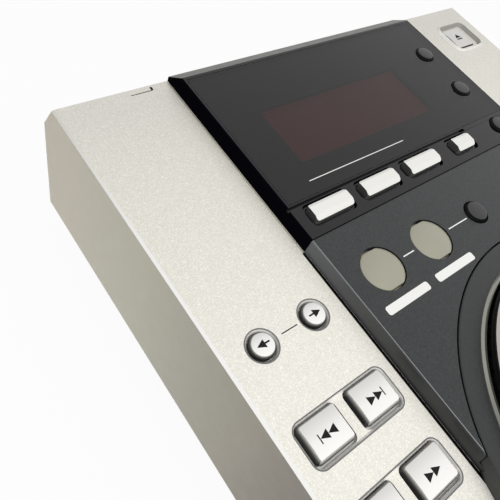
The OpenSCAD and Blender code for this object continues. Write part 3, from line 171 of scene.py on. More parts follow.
def vary_gloss(material, shader, value, roughness, spread):
    """Roughness that follows a value from 0 to 1."""
    reach = add_node(material, "ShaderNodeMapRange",
                     To_Min=roughness - spread, To_Max=roughness + spread)
    link(material, value, reach.inputs["Value"])
    link(material, reach.outputs["Result"], shader.inputs["Roughness"])


def uneven_gloss(material, shader, vector, roughness, spread, scale):
    """Roughness that changes a little over the surface, as handling leaves it."""
    vary_gloss(material, shader, noise(material, vector, scale, detail=5.0), roughness, spread)


def add_relief(material, shader, height, strength, depth):
    """Relief from a height value; depth is in millimetres."""
    bump = add_node(material, "ShaderNodeBump", Strength=strength, Distance=depth * MM)
    link(material, height, bump.inputs["Height"])
    link(material, bump.outputs["Normal"], shader.inputs["Normal"])


def grain(material, shader, vector, scale, strength):
    """Fine relief from noise."""
    add_relief(material, shader, noise(material, vector, scale, detail=2.0), strength, depth=0.05)


# ---------- kinds of surface ----------

# Scale of the slow changes of a polished moulding, and its spread of gloss as a share of roughness
POLISH_MOTTLE_SCALE = 60
POLISH_GLOSS_SCALE = 240
POLISH_GLOSS_SHARE = 0.3

# The same for a plain finish, with the most that its gloss may vary
FINISH_GLOSS_FINER = 4
FINISH_GLOSS_SHARE = 0.4
FINISH_GLOSS_MOST = 0.06


def finish(name, color, roughness, spread=0.05, scale=60, grain_scale=3000, relief=0.12, **sockets):
    """A moulded, painted or rolled surface: slow colour change, uneven gloss and a fine grain."""
    material, shader = surface(name, color, roughness, **sockets)
    vector = coordinates(material)
    mottle(material, shader, vector, color, scale, spread)
    spread_of_gloss = min(FINISH_GLOSS_MOST, roughness * FINISH_GLOSS_SHARE)
    uneven_gloss(material, shader, vector, roughness, spread_of_gloss, scale * FINISH_GLOSS_FINER)
    grain(material, shader, vector, grain_scale, relief)
    return material


def metallic_lacquer(name, color, roughness, flake, light=None, **sockets):
    """Metallic lacquer: fine flakes of different brightness, a few of them bright.

    flake is their spread of brightness, and light holds a grade of painted shade over the whole surface.
    """
    material, shader = surface(name, color, roughness, **sockets)
    vector = coordinates(material)
    cells = add_node(material, "ShaderNodeTexVoronoi", Scale=3400.0)
    link(material, vector, cells.inputs["Vector"])
    parts = add_node(material, "ShaderNodeSeparateColor")
    link(material, cells.outputs["Color"], parts.inputs["Color"])
    shades = ramp(material, parts.outputs["Red"], [
        (0.0, tint(color, 1 - flake)), (0.6, color),
        (0.95, tint(color, 1 + flake)), (1.0, tint(color, 1 + 2 * flake))])
    # Painted shade: the grade is multiplied into the lacquer's colour
    if light:
        shades = combine(material, "ShaderNodeVectorMath", "MULTIPLY", shades, grade(material, *light))
    link(material, shades, shader.inputs["Base Color"])
    vary_gloss(material, shader, parts.outputs["Green"], roughness, spread=0.08)
    grain(material, shader, vector, scale=2200, strength=0.10)
    return material


def polished(name, color, roughness, **sockets):
    """A polished moulding: a slow change of colour and gloss, and no grain."""
    material, shader = surface(name, color, roughness, **sockets)
    vector = coordinates(material)
    mottle(material, shader, vector, color, POLISH_MOTTLE_SCALE, spread=0.06)
    uneven_gloss(material, shader, vector, roughness, roughness * POLISH_GLOSS_SHARE, POLISH_GLOSS_SCALE)
    return material


def graded(name, roughness, stops, axis, low, high, space="Object", **sockets):
    """A polished moulding whose colour follows one axis from low to high, as painted light and shade."""
    material, shader = surface(name, stops[0][1], roughness, **sockets)
    link(material, grade(material, stops, axis, low, high, space), shader.inputs["Base Color"])
    vector = coordinates(material)
    uneven_gloss(material, shader, vector, roughness, roughness * POLISH_GLOSS_SHARE, POLISH_GLOSS_SCALE)
    return material


def turned_metal(name, color, roughness, centre, **sockets):
    """Metal with fine rings from the lathe, round an upright axis."""
    material, shader = surface(name, color, roughness, **sockets)
    vector = coordinates(material, Location=[-c for c in centre])
    mottle(material, shader, vector, color, scale=40, spread=0.03)
    rings = add_node(material, "ShaderNodeTexWave", Scale=900.0, Distortion=1.5, Detail=2.0)
    rings.wave_type = "RINGS"
    rings.rings_direction = "Z"
    link(material, vector, rings.inputs["Vector"])
    add_relief(material, shader, rings.outputs["Fac"], strength=0.15, depth=0.02)
    return material


def brushed_metal(name, color, roughness, **sockets):
    """Rolled or drawn metal with fine streaks along X."""
    material, shader = surface(name, color, roughness, **sockets)
    vector = coordinates(material, Scale=(40, 2500, 2500))
    streaks = noise(material, vector, scale=1.0, detail=4.0)
    shades = ramp(material, streaks, [(0.3, tint(color, 0.88)), (0.7, tint(color, 1.08))])
    link(material, shades, shader.inputs["Base Color"])
    add_relief(material, shader, streaks, strength=0.1, depth=0.02)
    return material


def circuit(name, color):
    """Solder mask over a pattern of copper tracks."""
    material, shader = surface(name, color, roughness=0.35)
    vector = coordinates(material)
    tracks = add_node(material, "ShaderNodeTexVoronoi", Scale=220.0)
    tracks.distance = "MANHATTAN"
    tracks.feature = "F2"
    link(material, vector, tracks.inputs["Vector"])
    shades = ramp(material, tracks.outputs["Distance"], [
        (0.42, color), (0.5, tint(color, 1.8)), (0.58, tint(color, 0.8))])
    link(material, shades, shader.inputs["Base Color"])
    grain(material, shader, vector, scale=1200, strength=0.1)
    return material


# ---------- materials ----------

JOG_LOW, JOG_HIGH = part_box("jog_plate")
JOG_CENTRE = (JOG_LOW + JOG_HIGH) / 2
PANEL_LOW, PANEL_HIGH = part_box("control_panel")
DECK_Z = PANEL_LOW.z
KEY_TOP_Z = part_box("track_back_key")[1].z
TROUGH_Z = DECK_Z - 0.8 * MM

# Painted shade: the silver deck is painted darker towards the rear, as shares of full light along Y
SILVER = (0.82, 0.80, 0.735)
DECK_PAINTED_SHADE = ([(0.0, (1.0, 1.0, 1.0)), (0.35, (0.95, 0.95, 0.94)),
               (0.7, (0.90, 0.90, 0.885)), (1.0, (0.825, 0.82, 0.82))], "Y", 0.025, 0.13)

# One material for each material slot of the record
MATERIALS = {
    "silver_shell": metallic_lacquer("silver_shell", SILVER, 0.42, 0.10, DECK_PAINTED_SHADE, Metallic=0.15),
    "black_steel": finish("black_steel", (0.02, 0.02, 0.022), 0.55, grain_scale=1600, relief=0.35,
                          Metallic=0.2),
    "panel_grey": metallic_lacquer("panel_grey", (0.017, 0.0185, 0.0195), 0.38, 0.5,
                                   Specular_IOR_Level=0.56),
    "gloss_black": polished("gloss_black", (0.004, 0.004, 0.005), 0.07, Specular_IOR_Level=0.4),
    "smoked_window": polished("smoked_window", (0.006, 0.0055, 0.0055), 0.05, Alpha=0.75,
                              Specular_IOR_Level=0.5),
    "display_red": finish("display_red", (0.45, 0.04, 0.035), 0.3, scale=120, relief=0.03),
    "ring_grey": metallic_lacquer("ring_grey", (0.018, 0.019, 0.019), 0.40, 0.25,
                                  Specular_IOR_Level=0.54),
    "frame_steel": brushed_metal("frame_steel", (0.5, 0.5, 0.51), 0.35, Metallic=0.9),
    "socket_black": finish("socket_black", (0.02, 0.02, 0.021), 0.4),
    "circuit_green": circuit("circuit_green", (0.02, 0.09, 0.035)),
    "supply_parts": finish("supply_parts", (0.3, 0.26, 0.14), 0.5, scale=150),
    "rubber_black": finish("rubber_black", (0.018, 0.018, 0.018), 0.75, grain_scale=900, relief=0.3),
    "motor_can": brushed_metal("motor_can", (0.45, 0.45, 0.46), 0.3, Metallic=0.9),
    "bright_steel": brushed_metal("bright_steel", (0.65, 0.65, 0.66), 0.18, Metallic=1.0),
    "felt_black": finish("felt_black", (0.012, 0.012, 0.012), 0.95, grain_scale=2500, relief=0.9,
                         Sheen_Weight=0.4),
    "socket_metal": brushed_metal("socket_metal", (0.6, 0.6, 0.58), 0.25, Metallic=0.95),
    "screw_black": finish("screw_black", (0.03, 0.03, 0.03), 0.35, Metallic=0.6),
    "jog_silver": turned_metal("jog_silver", (0.42, 0.39, 0.365), 0.36, JOG_CENTRE, Metallic=0.55),
    "jog_black": finish("jog_black", (0.02, 0.02, 0.021), 0.35),
    "knob_black": finish("knob_black", (0.02, 0.02, 0.022), 0.45, grain_scale=2000, relief=0.3),
    "gear_ivory": finish("gear_ivory", (0.7, 0.66, 0.52), 0.4),
    "gear_brass": brushed_metal("gear_brass", (0.6, 0.42, 0.18), 0.28, Metallic=1.0),
    # Painted reflection: the silver key tops are paler at the front and darker towards the rear
    "key_silver": graded("key_silver", 0.2, [
        (0.1, (0.90, 0.895, 0.875)), (0.5, (0.83, 0.825, 0.80)), (0.95, (0.58, 0.57, 0.55))],
        "Y", 0, 1, "Generated"),
    "key_white": finish("key_white", (0.80, 0.795, 0.765), 0.25, spread=0.015, relief=0.02),
    "key_beige": finish("key_beige", (0.335, 0.325, 0.255), 0.3, spread=0.03, relief=0.04),
    "key_dark": finish("key_dark", (0.02, 0.02, 0.02), 0.3, relief=0.04),
}

# Faces of the top cover that differ from its deck: painted highlights, painted shade and a painted dark
# reflection
# Painted highlight on the walls of the troughs and of the eject well
RIM_PAINTED_HIGHLIGHT = polished("rim_painted_highlight", (0.92, 0.91, 0.88), 0.3)
# Painted dark reflection along the top of the trough walls, and in the lines round the troughs
RIM_DARK_REFLECTION_LINE = polished("rim_dark_reflection_line", (0.14, 0.14, 0.135), 0.3)
# Painted shade on the eject well's walls that face the key from the right and the rear
RIM_PAINTED_SHADE = polished("rim_painted_shade", (0.30, 0.295, 0.275), 0.3)
# Painted highlight on the top edges of the side walls, painted darker towards the rear
EDGE_PAINTED_LIGHT = graded("edge_painted_light", 0.25, [
    (0.0, (0.97, 0.965, 0.94)), (0.4, (0.93, 0.925, 0.90)), (0.85, (0.70, 0.68, 0.63))],
    "Y", 0.04, 0.15, Metallic=0.3)
# Painted shade on both side walls, darker towards the front
WALL_PAINTED_SHADE = graded("wall_painted_shade", 0.45, [
    (0.0, (0.31, 0.275, 0.22)), (0.143, (0.44, 0.40, 0.315)), (0.3, (0.51, 0.485, 0.38)),
    (0.37, (0.55, 0.52, 0.425)), (0.57, (0.665, 0.635, 0.488)), (0.72, (0.71, 0.68, 0.54)),
    (1.0, (0.79, 0.72, 0.575))], "Y", 0.005, 0.13)
# Painted shade in the groove along the panel's foot, in front of the display
SEAM_PAINTED_SHADE = finish("seam_painted_shade", (0.012, 0.012, 0.013), 0.7, relief=0.05, Specular_IOR_Level=0.1)

# Painted shade on the key sides, dark at a trough's bottom and pale at a key's top; front sides painted
# lighter
KEY_FLANK_PAINTED_SHADE = graded("key_flank", 0.25, [
    (0.1, (0.008, 0.008, 0.008)), (0.4, (0.03, 0.03, 0.029)),
    (0.65, (0.17, 0.17, 0.16)), (0.95, (0.6, 0.59, 0.56))],
    "Z", TROUGH_Z, KEY_TOP_Z, Metallic=0.2)
KEY_FRONT_PAINTED_LIGHT = graded("key_front_painted_light", 0.25, [
    (0.1, (0.05, 0.05, 0.048)), (0.4, (0.32, 0.32, 0.30)),
    (0.7, (0.62, 0.61, 0.58)), (0.95, (0.85, 0.84, 0.81))],
    "Z", TROUGH_Z, KEY_TOP_Z, Metallic=0.2)
KEY_PLAIN = polished("key_plain", (0.64, 0.63, 0.605), 0.25)
WHITE_FLANK = finish("white_key_flank", (0.095, 0.095, 0.095), 0.3, relief=0.02)
# Painted shade: the sides of the dark keys and the reloop key's rounded edge are painted near black
DARK_FLANK_PAINTED_SHADE = polished("dark_key_painted_shade", (0.003, 0.003, 0.0035), 0.4, Specular_IOR_Level=0.1)

# Sides and edges of the panel, the display block, the window and the jog wheel
# Painted light and shade on the panel's side walls: paler at the rear, darker towards the front
PANEL_SIDE_PAINTED_SHADE = graded("panel_side_painted_shade", 0.4, [
    (0.0, (0.014, 0.015, 0.016)), (0.4, (0.035, 0.037, 0.039)),
    (0.75, (0.075, 0.08, 0.084)), (1.0, (0.11, 0.12, 0.128))], "Y", 0.0, 0.056)
# Painted highlight on the top edges of the panel's side walls
PANEL_EDGE_HIGHLIGHT = finish("panel_edge_highlight", (0.24, 0.245, 0.25), 0.25, relief=0.03)
BLOCK_SIDE = finish("block_side", (0.003, 0.003, 0.005), 0.6, relief=0.05, Specular_IOR_Level=0.0)
REAR_SLOPE = finish("rear_slope", (0.065, 0.065, 0.057), 0.3, relief=0.02, Specular_IOR_Level=0.08)
WINDOW_BACK = polished("window_back", (0.006, 0.0055, 0.0055), 0.05, Alpha=0.1,
                       Specular_IOR_Level=0.0)
# Painted highlight on the top of the jog ring's lip, brighter towards the rear
LIP_PAINTED_HIGHLIGHT = graded("lip_painted_highlight", 0.2, [
    (0.0, (0.07, 0.07, 0.066)), (0.5, (0.12, 0.12, 0.108)), (1.0, (0.3, 0.3, 0.265))],
    "Y", JOG_CENTRE.y - 10 * MM, JOG_CENTRE.y + 40 * MM, Metallic=0.8)
PLATE_EDGE = polished("plate_edge", (0.006, 0.006, 0.006), 0.35, Specular_IOR_Level=0.1)

INK_BLACK = finish("ink_black", (0.012, 0.012, 0.012), 0.8, relief=0.05, Specular_IOR_Level=0.2)
INK_WHITE = finish("ink_white", (0.83, 0.83, 0.81), 0.5, spread=0.02, relief=0.03)


# ---------- pieces from CAD nodes ----------

def new_piece(name, mesh, materials, body, slot):
    """A mesh object that rides on a body."""
    piece = bpy.data.objects.new(name, mesh)
    bpy.context.scene.collection.objects.link(piece)
    mesh.materials.clear()
    for material in materials:
        mesh.materials.append(material)
    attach(piece, body)
    return piece


def welded_mesh(node, cut_y):
    """The node's mesh with welded corners and joined flat faces, parted at cut_y if that is given."""
    mesh = bpy.data.meshes.new(node + "_finish")
    form = bmesh.new()
    form.from_mesh(frame["nodes"][node].data)
    bmesh.ops.remove_doubles(form, verts=form.verts, dist=WELD)
    bmesh.ops.dissolve_limit(form, angle_limit=FLAT, verts=form.verts, edges=form.edges)
    if cut_y is not None:
        geometry = [*form.verts, *form.edges, *form.faces]
        bmesh.ops.bisect_plane(form, geom=geometry, plane_co=(0, cut_y, 0), plane_no=(0, 1, 0))
    form.to_mesh(mesh)
    form.free()
    return mesh


def rounded_mesh(node, mesh, bevel, segments, sharp):
    """The mesh with its sharp edges rounded; bevel is in millimetres."""
    draft = bpy.data.objects.new(node + "_draft", mesh)
    bpy.context.scene.collection.objects.link(draft)
    rounding = draft.modifiers.new("rounding", "BEVEL")
    rounding.width = bevel * MM
    rounding.segments = segments
    rounding.limit_method = "ANGLE"
    rounding.angle_limit = sharp
    rounding.use_clamp_overlap = True
    shading = draft.modifiers.new("shading", "WEIGHTED_NORMAL")
    shading.keep_sharp = True
    mesh.shade_smooth()
    scene_graph = bpy.context.evaluated_depsgraph_get()
    rounded = bpy.data.meshes.new_from_object(draft.evaluated_get(scene_graph))
    rounded.name = node + "_finish"
    bpy.data.objects.remove(draft)
    return rounded


def polish(node, bevel, choose=None, segments=2, sharp=SHARP, cut_y=None):
    """The CAD node with rounded edges; bevel is in millimetres.

    choose(centre, normal) names a face's material, or None for the node's own.
    """
    mesh = rounded_mesh(node, welded_mesh(node, cut_y), bevel, segments, sharp)
    own = MATERIALS[SLOT_OF[node]]
    shades = [choose(face.center, face.normal) or own for face in mesh.polygons] if choose else []
    materials = list(dict.fromkeys([own, *shades]))
    piece = new_piece(node + "_finish", mesh, materials, BODY_OF[node], SLOT_OF[node])
    for face, shade in zip(mesh.polygons, shades):
        face.material_index = materials.index(shade)
    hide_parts(node)


for name, node in frame["nodes"].items():
    node.data.materials.clear()
    node.data.materials.append(MATERIALS[SLOT_OF[name]])

CASE_LOW, CASE_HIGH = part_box("top_cover")
PANEL_Z = PANEL_HIGH.z
DISPLAY_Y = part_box("display_bezel")[0].y
RING_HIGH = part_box("jog_bezel")[1]
FACE_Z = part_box("display_bezel")[1].z
EJECT_LOW, EJECT_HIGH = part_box("eject_key")
EJECT_CENTRE = (EJECT_LOW + EJECT_HIGH) / 2

# Reach of the painted shade in the seam: under the panel's side, beside it, and down from the deck
SEAM_UNDER = 0.1 * MM
SEAM_BESIDE = 1.2 * MM
SEAM_DOWN = 0.05 * MM

# Reach of the case's long and front edges, and of its rear slope
CASE_EDGE = 3 * MM
CASE_REAR = 14 * MM

# Walls of wells and troughs lie between these depths under the deck
WELL_TOP = 0.005 * MM
WELL_FOOT = 1.2 * MM

# The ridge round the eject key's well: left, right, front and rear of its flange, and its depth
EJECT_LEFT = 3.5 * MM
EJECT_RIGHT = 5.5 * MM
EJECT_ENDS = 3 * MM
EJECT_DEPTH = 1.0 * MM

# Reach of the panel's and the plate's edges and of the jog ring's lip
PANEL_BESIDE = 2 * MM
PANEL_EDGE_H = 0.8 * MM
PLATE_EDGE_W = 1.5 * MM
LIP_H = 0.6 * MM

# Faces are told apart by their normal's share along an axis: WALL and TOP are the least share of
# a wall or a top, LEANS is the least of a slope that way, and SLOPE the most of one beside a top
CASE_WALL = 0.95
CASE_LEANS = 0.25
WELL_SLOPE = 0.9
WELL_TURNED_AWAY = -0.3
TROUGH_SLOPE = 0.985
TROUGH_RIM = 0.75
BLOCK_WALL = 0.05
BLOCK_LEANS = 0.3
WINDOW_TOP = 0.5
PANEL_WALL = 0.62
PANEL_LEANS = 0.1
LIP_LEANS = 0.25
PLATE_SLOPE = 0.95
KEY_TOP = 0.6
SUNKEN_TOP = 0.93


def deck_face(centre, normal):
    """The top cover: painted shade in the seam along the panel, side walls with painted shade under
    edges with a painted highlight, troughs with a painted highlight on their walls inside a painted
    dark reflection line, and the eject well with a painted highlight and painted shade on its walls."""
    beside_panel = max(PANEL_LOW.x - centre.x, centre.x - PANEL_HIGH.x)
    if -SEAM_UNDER < beside_panel < SEAM_BESIDE and centre.z < DECK_Z - SEAM_DOWN:
        return SEAM_PAINTED_SHADE if centre.y < DISPLAY_Y else None
    if abs(centre.x) > CASE_HIGH.x - CASE_EDGE:
        if abs(normal.x) > CASE_WALL:
            return WALL_PAINTED_SHADE
        return EDGE_PAINTED_LIGHT if abs(normal.x) > CASE_LEANS and normal.z > CASE_LEANS else None
    if centre.y > CASE_HIGH.y - CASE_REAR or centre.y < CASE_LOW.y + CASE_EDGE:
        return None
    if in_eject_well(centre) and normal.z < WELL_SLOPE:
        shaded = faces_eject_key(centre, normal) and min(normal.x, normal.y) < WELL_TURNED_AWAY
        return RIM_PAINTED_SHADE if shaded else RIM_PAINTED_HIGHLIGHT
    if normal.z < TROUGH_SLOPE and DECK_Z - WELL_FOOT < centre.z < DECK_Z - WELL_TOP:
        return RIM_DARK_REFLECTION_LINE if normal.z > TROUGH_RIM else RIM_PAINTED_HIGHLIGHT
    return None


def in_eject_well(centre):
    """True inside the ridge round the eject key."""
    beside = max(EJECT_LOW.x - EJECT_LEFT - centre.x, centre.x - EJECT_HIGH.x - EJECT_RIGHT,
                 EJECT_LOW.y - EJECT_ENDS - centre.y, centre.y - EJECT_HIGH.y - EJECT_ENDS)
    return beside < 0 and centre.z > DECK_Z - EJECT_DEPTH


def faces_eject_key(centre, normal):
    return (Vector(centre) - EJECT_CENTRE).to_2d().dot(Vector(normal).to_2d()) < 0


def block_face(centre, normal):
    """The side walls of the raised block are matt black, and its rear slope is satin."""
    if abs(normal.x) > BLOCK_WALL:
        return BLOCK_SIDE
    return REAR_SLOPE if normal.y > BLOCK_LEANS and normal.z > BLOCK_LEANS else None


def window_face(centre, normal):
    """Only the top of the window is smoked."""
    return None if normal.z > WINDOW_TOP else WINDOW_BACK


def panel_face(centre, normal):
    """The panel's side walls carry painted shade, darker towards the front, and their top edges a
    painted highlight.
    """
    middle = (PANEL_LOW.x + PANEL_HIGH.x) / 2
    if abs(centre.x - middle) < (PANEL_HIGH.x - PANEL_LOW.x) / 2 - PANEL_BESIDE:
        return None
    if abs(normal.x) > PANEL_WALL:
        return PANEL_SIDE_PAINTED_SHADE
    on_edge = centre.z > PANEL_Z - PANEL_EDGE_H
    return PANEL_EDGE_HIGHLIGHT if abs(normal.x) > PANEL_LEANS and on_edge else None


def ring_face(centre, normal):
    """The top of the raised lip round the jog wheel carries a painted highlight, brighter than the ring.
    """
    return LIP_PAINTED_HIGHLIGHT if centre.z > RING_HIGH.z - LIP_H and normal.z > LIP_LEANS else None


def plate_face(centre, normal):
    """The jog plate's rounded edge is black."""
    reach = (Vector(centre) - JOG_CENTRE).to_2d().length
    on_edge = reach > JOG_HIGH.x - JOG_CENTRE.x - PLATE_EDGE_W
    return PLATE_EDGE if normal.z < PLATE_SLOPE and on_edge else None


def key_faces(flank, front, top=None):
    """Chooses the materials of a key's flanks, of the flank at its front, and of its top."""
    def choose(centre, normal):
        if normal.z > KEY_TOP:
            return top
        return front if normal.y < -KEY_TOP else flank
    return choose


def sunken_face(centre, normal):
    """Painted shade: the reloop key is painted near black all round its flat top."""
    return None if normal.z > SUNKEN_TOP else DARK_FLANK_PAINTED_SHADE


def dress_case():
    polish("top_cover", bevel=0.3, choose=deck_face, cut_y=DISPLAY_Y)
    polish("bottom_case", bevel=0.2)
    polish("control_panel", bevel=0.12, choose=panel_face)
    polish("display_bezel", bevel=0.12, choose=block_face, sharp=SHARP_ON_DISPLAY)
    polish("display_window", bevel=0.1, choose=window_face)
    polish("jog_bezel", bevel=0.15, choose=ring_face)
    polish("rubber_feet", bevel=0.6)


def dress_jog():
    polish("jog_plate", bevel=0.2, choose=plate_face)
    polish("jog_rim", bevel=0.15)


# How each kind of key is polished, and the keys that differ from their kind
ROUND_SILVER = dict(bevel=0.3, choose=key_faces(KEY_FLANK_PAINTED_SHADE, KEY_FLANK_PAINTED_SHADE), segments=3)
KEY_KINDS = {
    "key_silver": dict(bevel=0.3, choose=key_faces(KEY_FLANK_PAINTED_SHADE, KEY_FRONT_PAINTED_LIGHT), segments=3),
    "key_white": dict(bevel=0.2, choose=key_faces(WHITE_FLANK, WHITE_FLANK), sharp=SHARP_ON_WHITE_KEYS),
    "key_beige": dict(bevel=0.35, segments=3),
    "key_dark": dict(bevel=0.25, choose=key_faces(DARK_FLANK_PAINTED_SHADE, DARK_FLANK_PAINTED_SHADE), segments=3),
}
SINGLE_KEYS = {
    "eject_key": dict(bevel=0.3, choose=key_faces(KEY_FLANK_PAINTED_SHADE, KEY_FRONT_PAINTED_LIGHT, KEY_PLAIN), segments=3),
    "reloop_key": dict(bevel=0.7, choose=sunken_face, segments=3),
    "folder_back_key": ROUND_SILVER,
    "folder_forward_key": ROUND_SILVER,
}


def dress_keys():
    for key, slot in SLOT_OF.items():
        if slot in KEY_KINDS:
            polish(key, **SINGLE_KEYS.get(key, KEY_KINDS[slot]))
    polish("tempo_knob", bevel=0.4, segments=3)
    polish("power_button", bevel=0.4)


# ---------- printed marks, and lines of painted dark reflection round the troughs ---

MARK_T = 0.03 * MM
MARK_WELD = 1e-7

# Rays that find a key's crowned top start this far above it
RAY_H = 10 * MM
DOWN = Vector((0, 0, -1))

# Lines as (x0, y0, x1, y1) in millimetres: x0 from the key at the left, x1 from the key at the
# right, and y0 and y1 from the row of keys, as the photo shows them
LOOP_LINE = (9.4, -0.4, 14.6, 0.0)
RELOOP_LINE = (9.3, -0.35, -5.8, 0.05)
EFFECT_LINE = (0.2, 11.1, 1.3, 11.4)
FOLDER_LINE = (7.0, -0.17, 12.9, 0.17)

# The leader to the power button: its tick's place from the case's left and rear, and its lines
POWER_FROM_LEFT = 35.5
POWER_FROM_REAR = 9.7
POWER_LINES = ((-8.5, -2.7, 0.0, -2.4), (-0.45, -2.4, 0.45, -0.9))

# The blank labels under the loop keys
LABEL_W = 19.5
LABEL_H = 2.9
LABEL_DROP = 11.6
LABEL_SHIFT = 0.4
LABEL_CORNER = 0.3
LABEL_STEPS = 6

# Lines of painted dark reflection round the troughs: from the edge of a key's hidden flange to the
# trough, and their shape
TROUGH_REACH = -0.45
TROUGH_LINE_W = 0.4
TROUGH_CORNER = 2.8
TROUGH_STEPS = 8
SAME_POINT = 1e-6
TROUGHS = (("folder_back_key", "folder_back_key"), ("folder_forward_key", "folder_forward_key"),
           ("track_back_key", "track_forward_key"), ("search_back_key", "search_forward_key"))

# Signs on the keys, in millimetres from the key's centre: arrow heads, the stem of a single
# arrow, and the bar at the tip of a double one
HEAD_H = 2.6
HEAD_W = 2.7
HEAD_AHEAD = 0.8
STEM_BEHIND = 1.3
STEM_HALF_L = 0.9
STEM_HALF_W = 0.25
PAIR_W = 2.75
PAIR_APART = 1.37
STOP_AHEAD = 2.95
STOP_HALF_W = 0.17


def mark(name, outlines, height, body, slot, material, follow=None):
    """Flat shapes printed on a face at the given height, or laid over the crowned top of a piece."""
    form = bmesh.new()
    for outline in outlines:
        corners = [form.verts.new((x * MM, y * MM, height)) for x, y in outline]
        form.faces.new(corners)
    bmesh.ops.remove_doubles(form, verts=form.verts, dist=MARK_WELD)
    bmesh.ops.recalc_face_normals(form, faces=form.faces)
    for face in form.faces:
        if face.normal.z < 0:
            face.normal_flip()
    if follow:
        bmesh.ops.triangulate(form, faces=form.faces)
        bmesh.ops.subdivide_edges(form, edges=form.edges, cuts=2, use_grid_fill=True)
        source = BVHTree.FromObject(follow, bpy.context.evaluated_depsgraph_get())
    top = bmesh.ops.extrude_face_region(form, geom=form.faces)["geom"]
    lifted = {v for v in top if isinstance(v, bmesh.types.BMVert)}
    for vert in form.verts:
        ground = height
        if follow:
            start = Vector((vert.co.x, vert.co.y, height + RAY_H))
            hit = source.ray_cast(start, DOWN)[0]
            ground = hit.z if hit else height
        vert.co.z = ground + (MARK_T if vert in lifted else -MARK_T)
    bmesh.ops.recalc_face_normals(form, faces=form.faces)
    mesh = bpy.data.meshes.new(name)
    form.to_mesh(mesh)
    form.free()
    new_piece(name, mesh, [material], body, slot)


def bar(x0, y0, x1, y1):
    return [(x0, y0), (x1, y0), (x1, y1), (x0, y1)]


def line(x0, x1, y, reach):
    """A bar between two keys of a row."""
    return bar(x0 + reach[0], y + reach[1], x1 + reach[2], y + reach[3])


def triangle(x, y, w, h, way):
    """Triangle whose tip points along X, to the right for way = 1."""
    return [(x + way * w / 2, y), (x - way * w / 2, y + h / 2), (x - way * w / 2, y - h / 2)]


def corner_turns(x, y, half_w, half_d, r, steps):
    """Round the corners of a rectangle: centre of the corner, and cosine and sine of the angle."""
    turns = []
    for sx, sy, start in ((1, 1, 0), (-1, 1, 90), (-1, -1, 180), (1, -1, 270)):
        for i in range(steps + 1):
            a = math.radians(start + 90 * i / steps)
            turns.append((x + sx * (half_w - r), y + sy * (half_d - r), math.cos(a), math.sin(a)))
    return turns


def label(x, y):
    """Outline of a blank label with rounded corners."""
    r = LABEL_H * LABEL_CORNER
    return [(cx + r * c, cy + r * s)
            for cx, cy, c, s in corner_turns(x, y, LABEL_W / 2, LABEL_H / 2, r, LABEL_STEPS)]


def rounded_ring(x, y, half_w, half_d, r):
    """Band round a rectangle with rounded corners, as a chain of quads."""
    turns = corner_turns(x, y, half_w, half_d, r, TROUGH_STEPS)
    outer = r + TROUGH_LINE_W
    band = []
    for (x0, y0, c0, s0), (x1, y1, c1, s1) in zip(turns, turns[1:] + turns[:1]):
        inner_0, inner_1 = (x0 + r * c0, y0 + r * s0), (x1 + r * c1, y1 + r * s1)
        if math.dist(inner_0, inner_1) > SAME_POINT:
            band.append([inner_0, (x0 + outer * c0, y0 + outer * s0),
                         (x1 + outer * c1, y1 + outer * s1), inner_1])
    return band


def trough_line(first, last):
    """The line of painted dark reflection round the trough of a pair of keys, or round one key's rim."""
    low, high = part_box(first)[0] / MM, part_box(last)[1] / MM
    x, y = (low.x + high.x) / 2, (low.y + high.y) / 2
    half_w, half_d = (high.x - low.x) / 2 + TROUGH_REACH, (high.y - low.y) / 2 + TROUGH_REACH
    return rounded_ring(x, y, half_w, half_d, half_d if first == last else TROUGH_CORNER)


def centre_of(node):
    """The middle of a node in millimetres, and the height of its top in metres."""
    low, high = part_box(node)
    return (low.x + high.x) / 2 / MM, (low.y + high.y) / 2 / MM, high.z


def arrow(way):
    """An arrow with a stem, to the right for way = 1."""
    stem_x = -STEM_BEHIND * way
    return [bar(stem_x - STEM_HALF_L, -STEM_HALF_W, stem_x + STEM_HALF_L, STEM_HALF_W),
            triangle(HEAD_AHEAD * way, 0, HEAD_W, HEAD_H, way)]


def double_arrow(way, stop=False):
    """Two arrow heads, with a bar at their tips for stop."""
    heads = [triangle(side * PAIR_APART, 0, PAIR_W, HEAD_H, way) for side in (-1, 1)]
    stop_x = STOP_AHEAD * way
    bars = [bar(stop_x - STOP_HALF_W, -HEAD_H / 2, stop_x + STOP_HALF_W, HEAD_H / 2)] if stop else []
    return heads + bars


# Outlines of the other signs, from the key's centre too
EJECT_SIGN = [[(0, 2.2), (-1.9, -0.3), (1.9, -0.3)], bar(-1.9, -1.6, 1.9, -0.9)]
PLAY_SIGN = [triangle(-3.0, 0, 3.4, 3.4, 1), bar(0.6, -1.7, 1.5, 1.7), bar(2.6, -1.7, 3.5, 1.7)]
ICONS = {
    "folder_back_key": arrow(-1),
    "folder_forward_key": arrow(1),
    "track_back_key": double_arrow(-1, stop=True),
    "track_forward_key": double_arrow(1, stop=True),
    "search_back_key": double_arrow(-1),
    "search_forward_key": double_arrow(1),
    "eject_key": EJECT_SIGN,
    "play_key": PLAY_SIGN,
}


def add_panel_marks():
    in_x, row_y, _ = centre_of("loop_in_key")
    out_x = centre_of("loop_out_key")[0]
    reloop_x = centre_of("reloop_key")[0]
    panel = dict(height=PANEL_Z, body="case", slot="panel_grey", material=INK_WHITE)
    mark("loop_lines", [line(in_x, in_x, row_y, LOOP_LINE), line(out_x, reloop_x, row_y, RELOOP_LINE)],
         **panel)
    mark("loop_labels", [label(x, row_y - LABEL_DROP) for x in (in_x, out_x - LABEL_SHIFT)], **panel)
    effect_x, effect_y, _ = centre_of("effect_key_1")
    last_x = centre_of("effect_key_3")[0]
    mark("effect_line", [line(effect_x, last_x, effect_y, EFFECT_LINE)],
         FACE_Z, "case", "gloss_black", INK_WHITE)


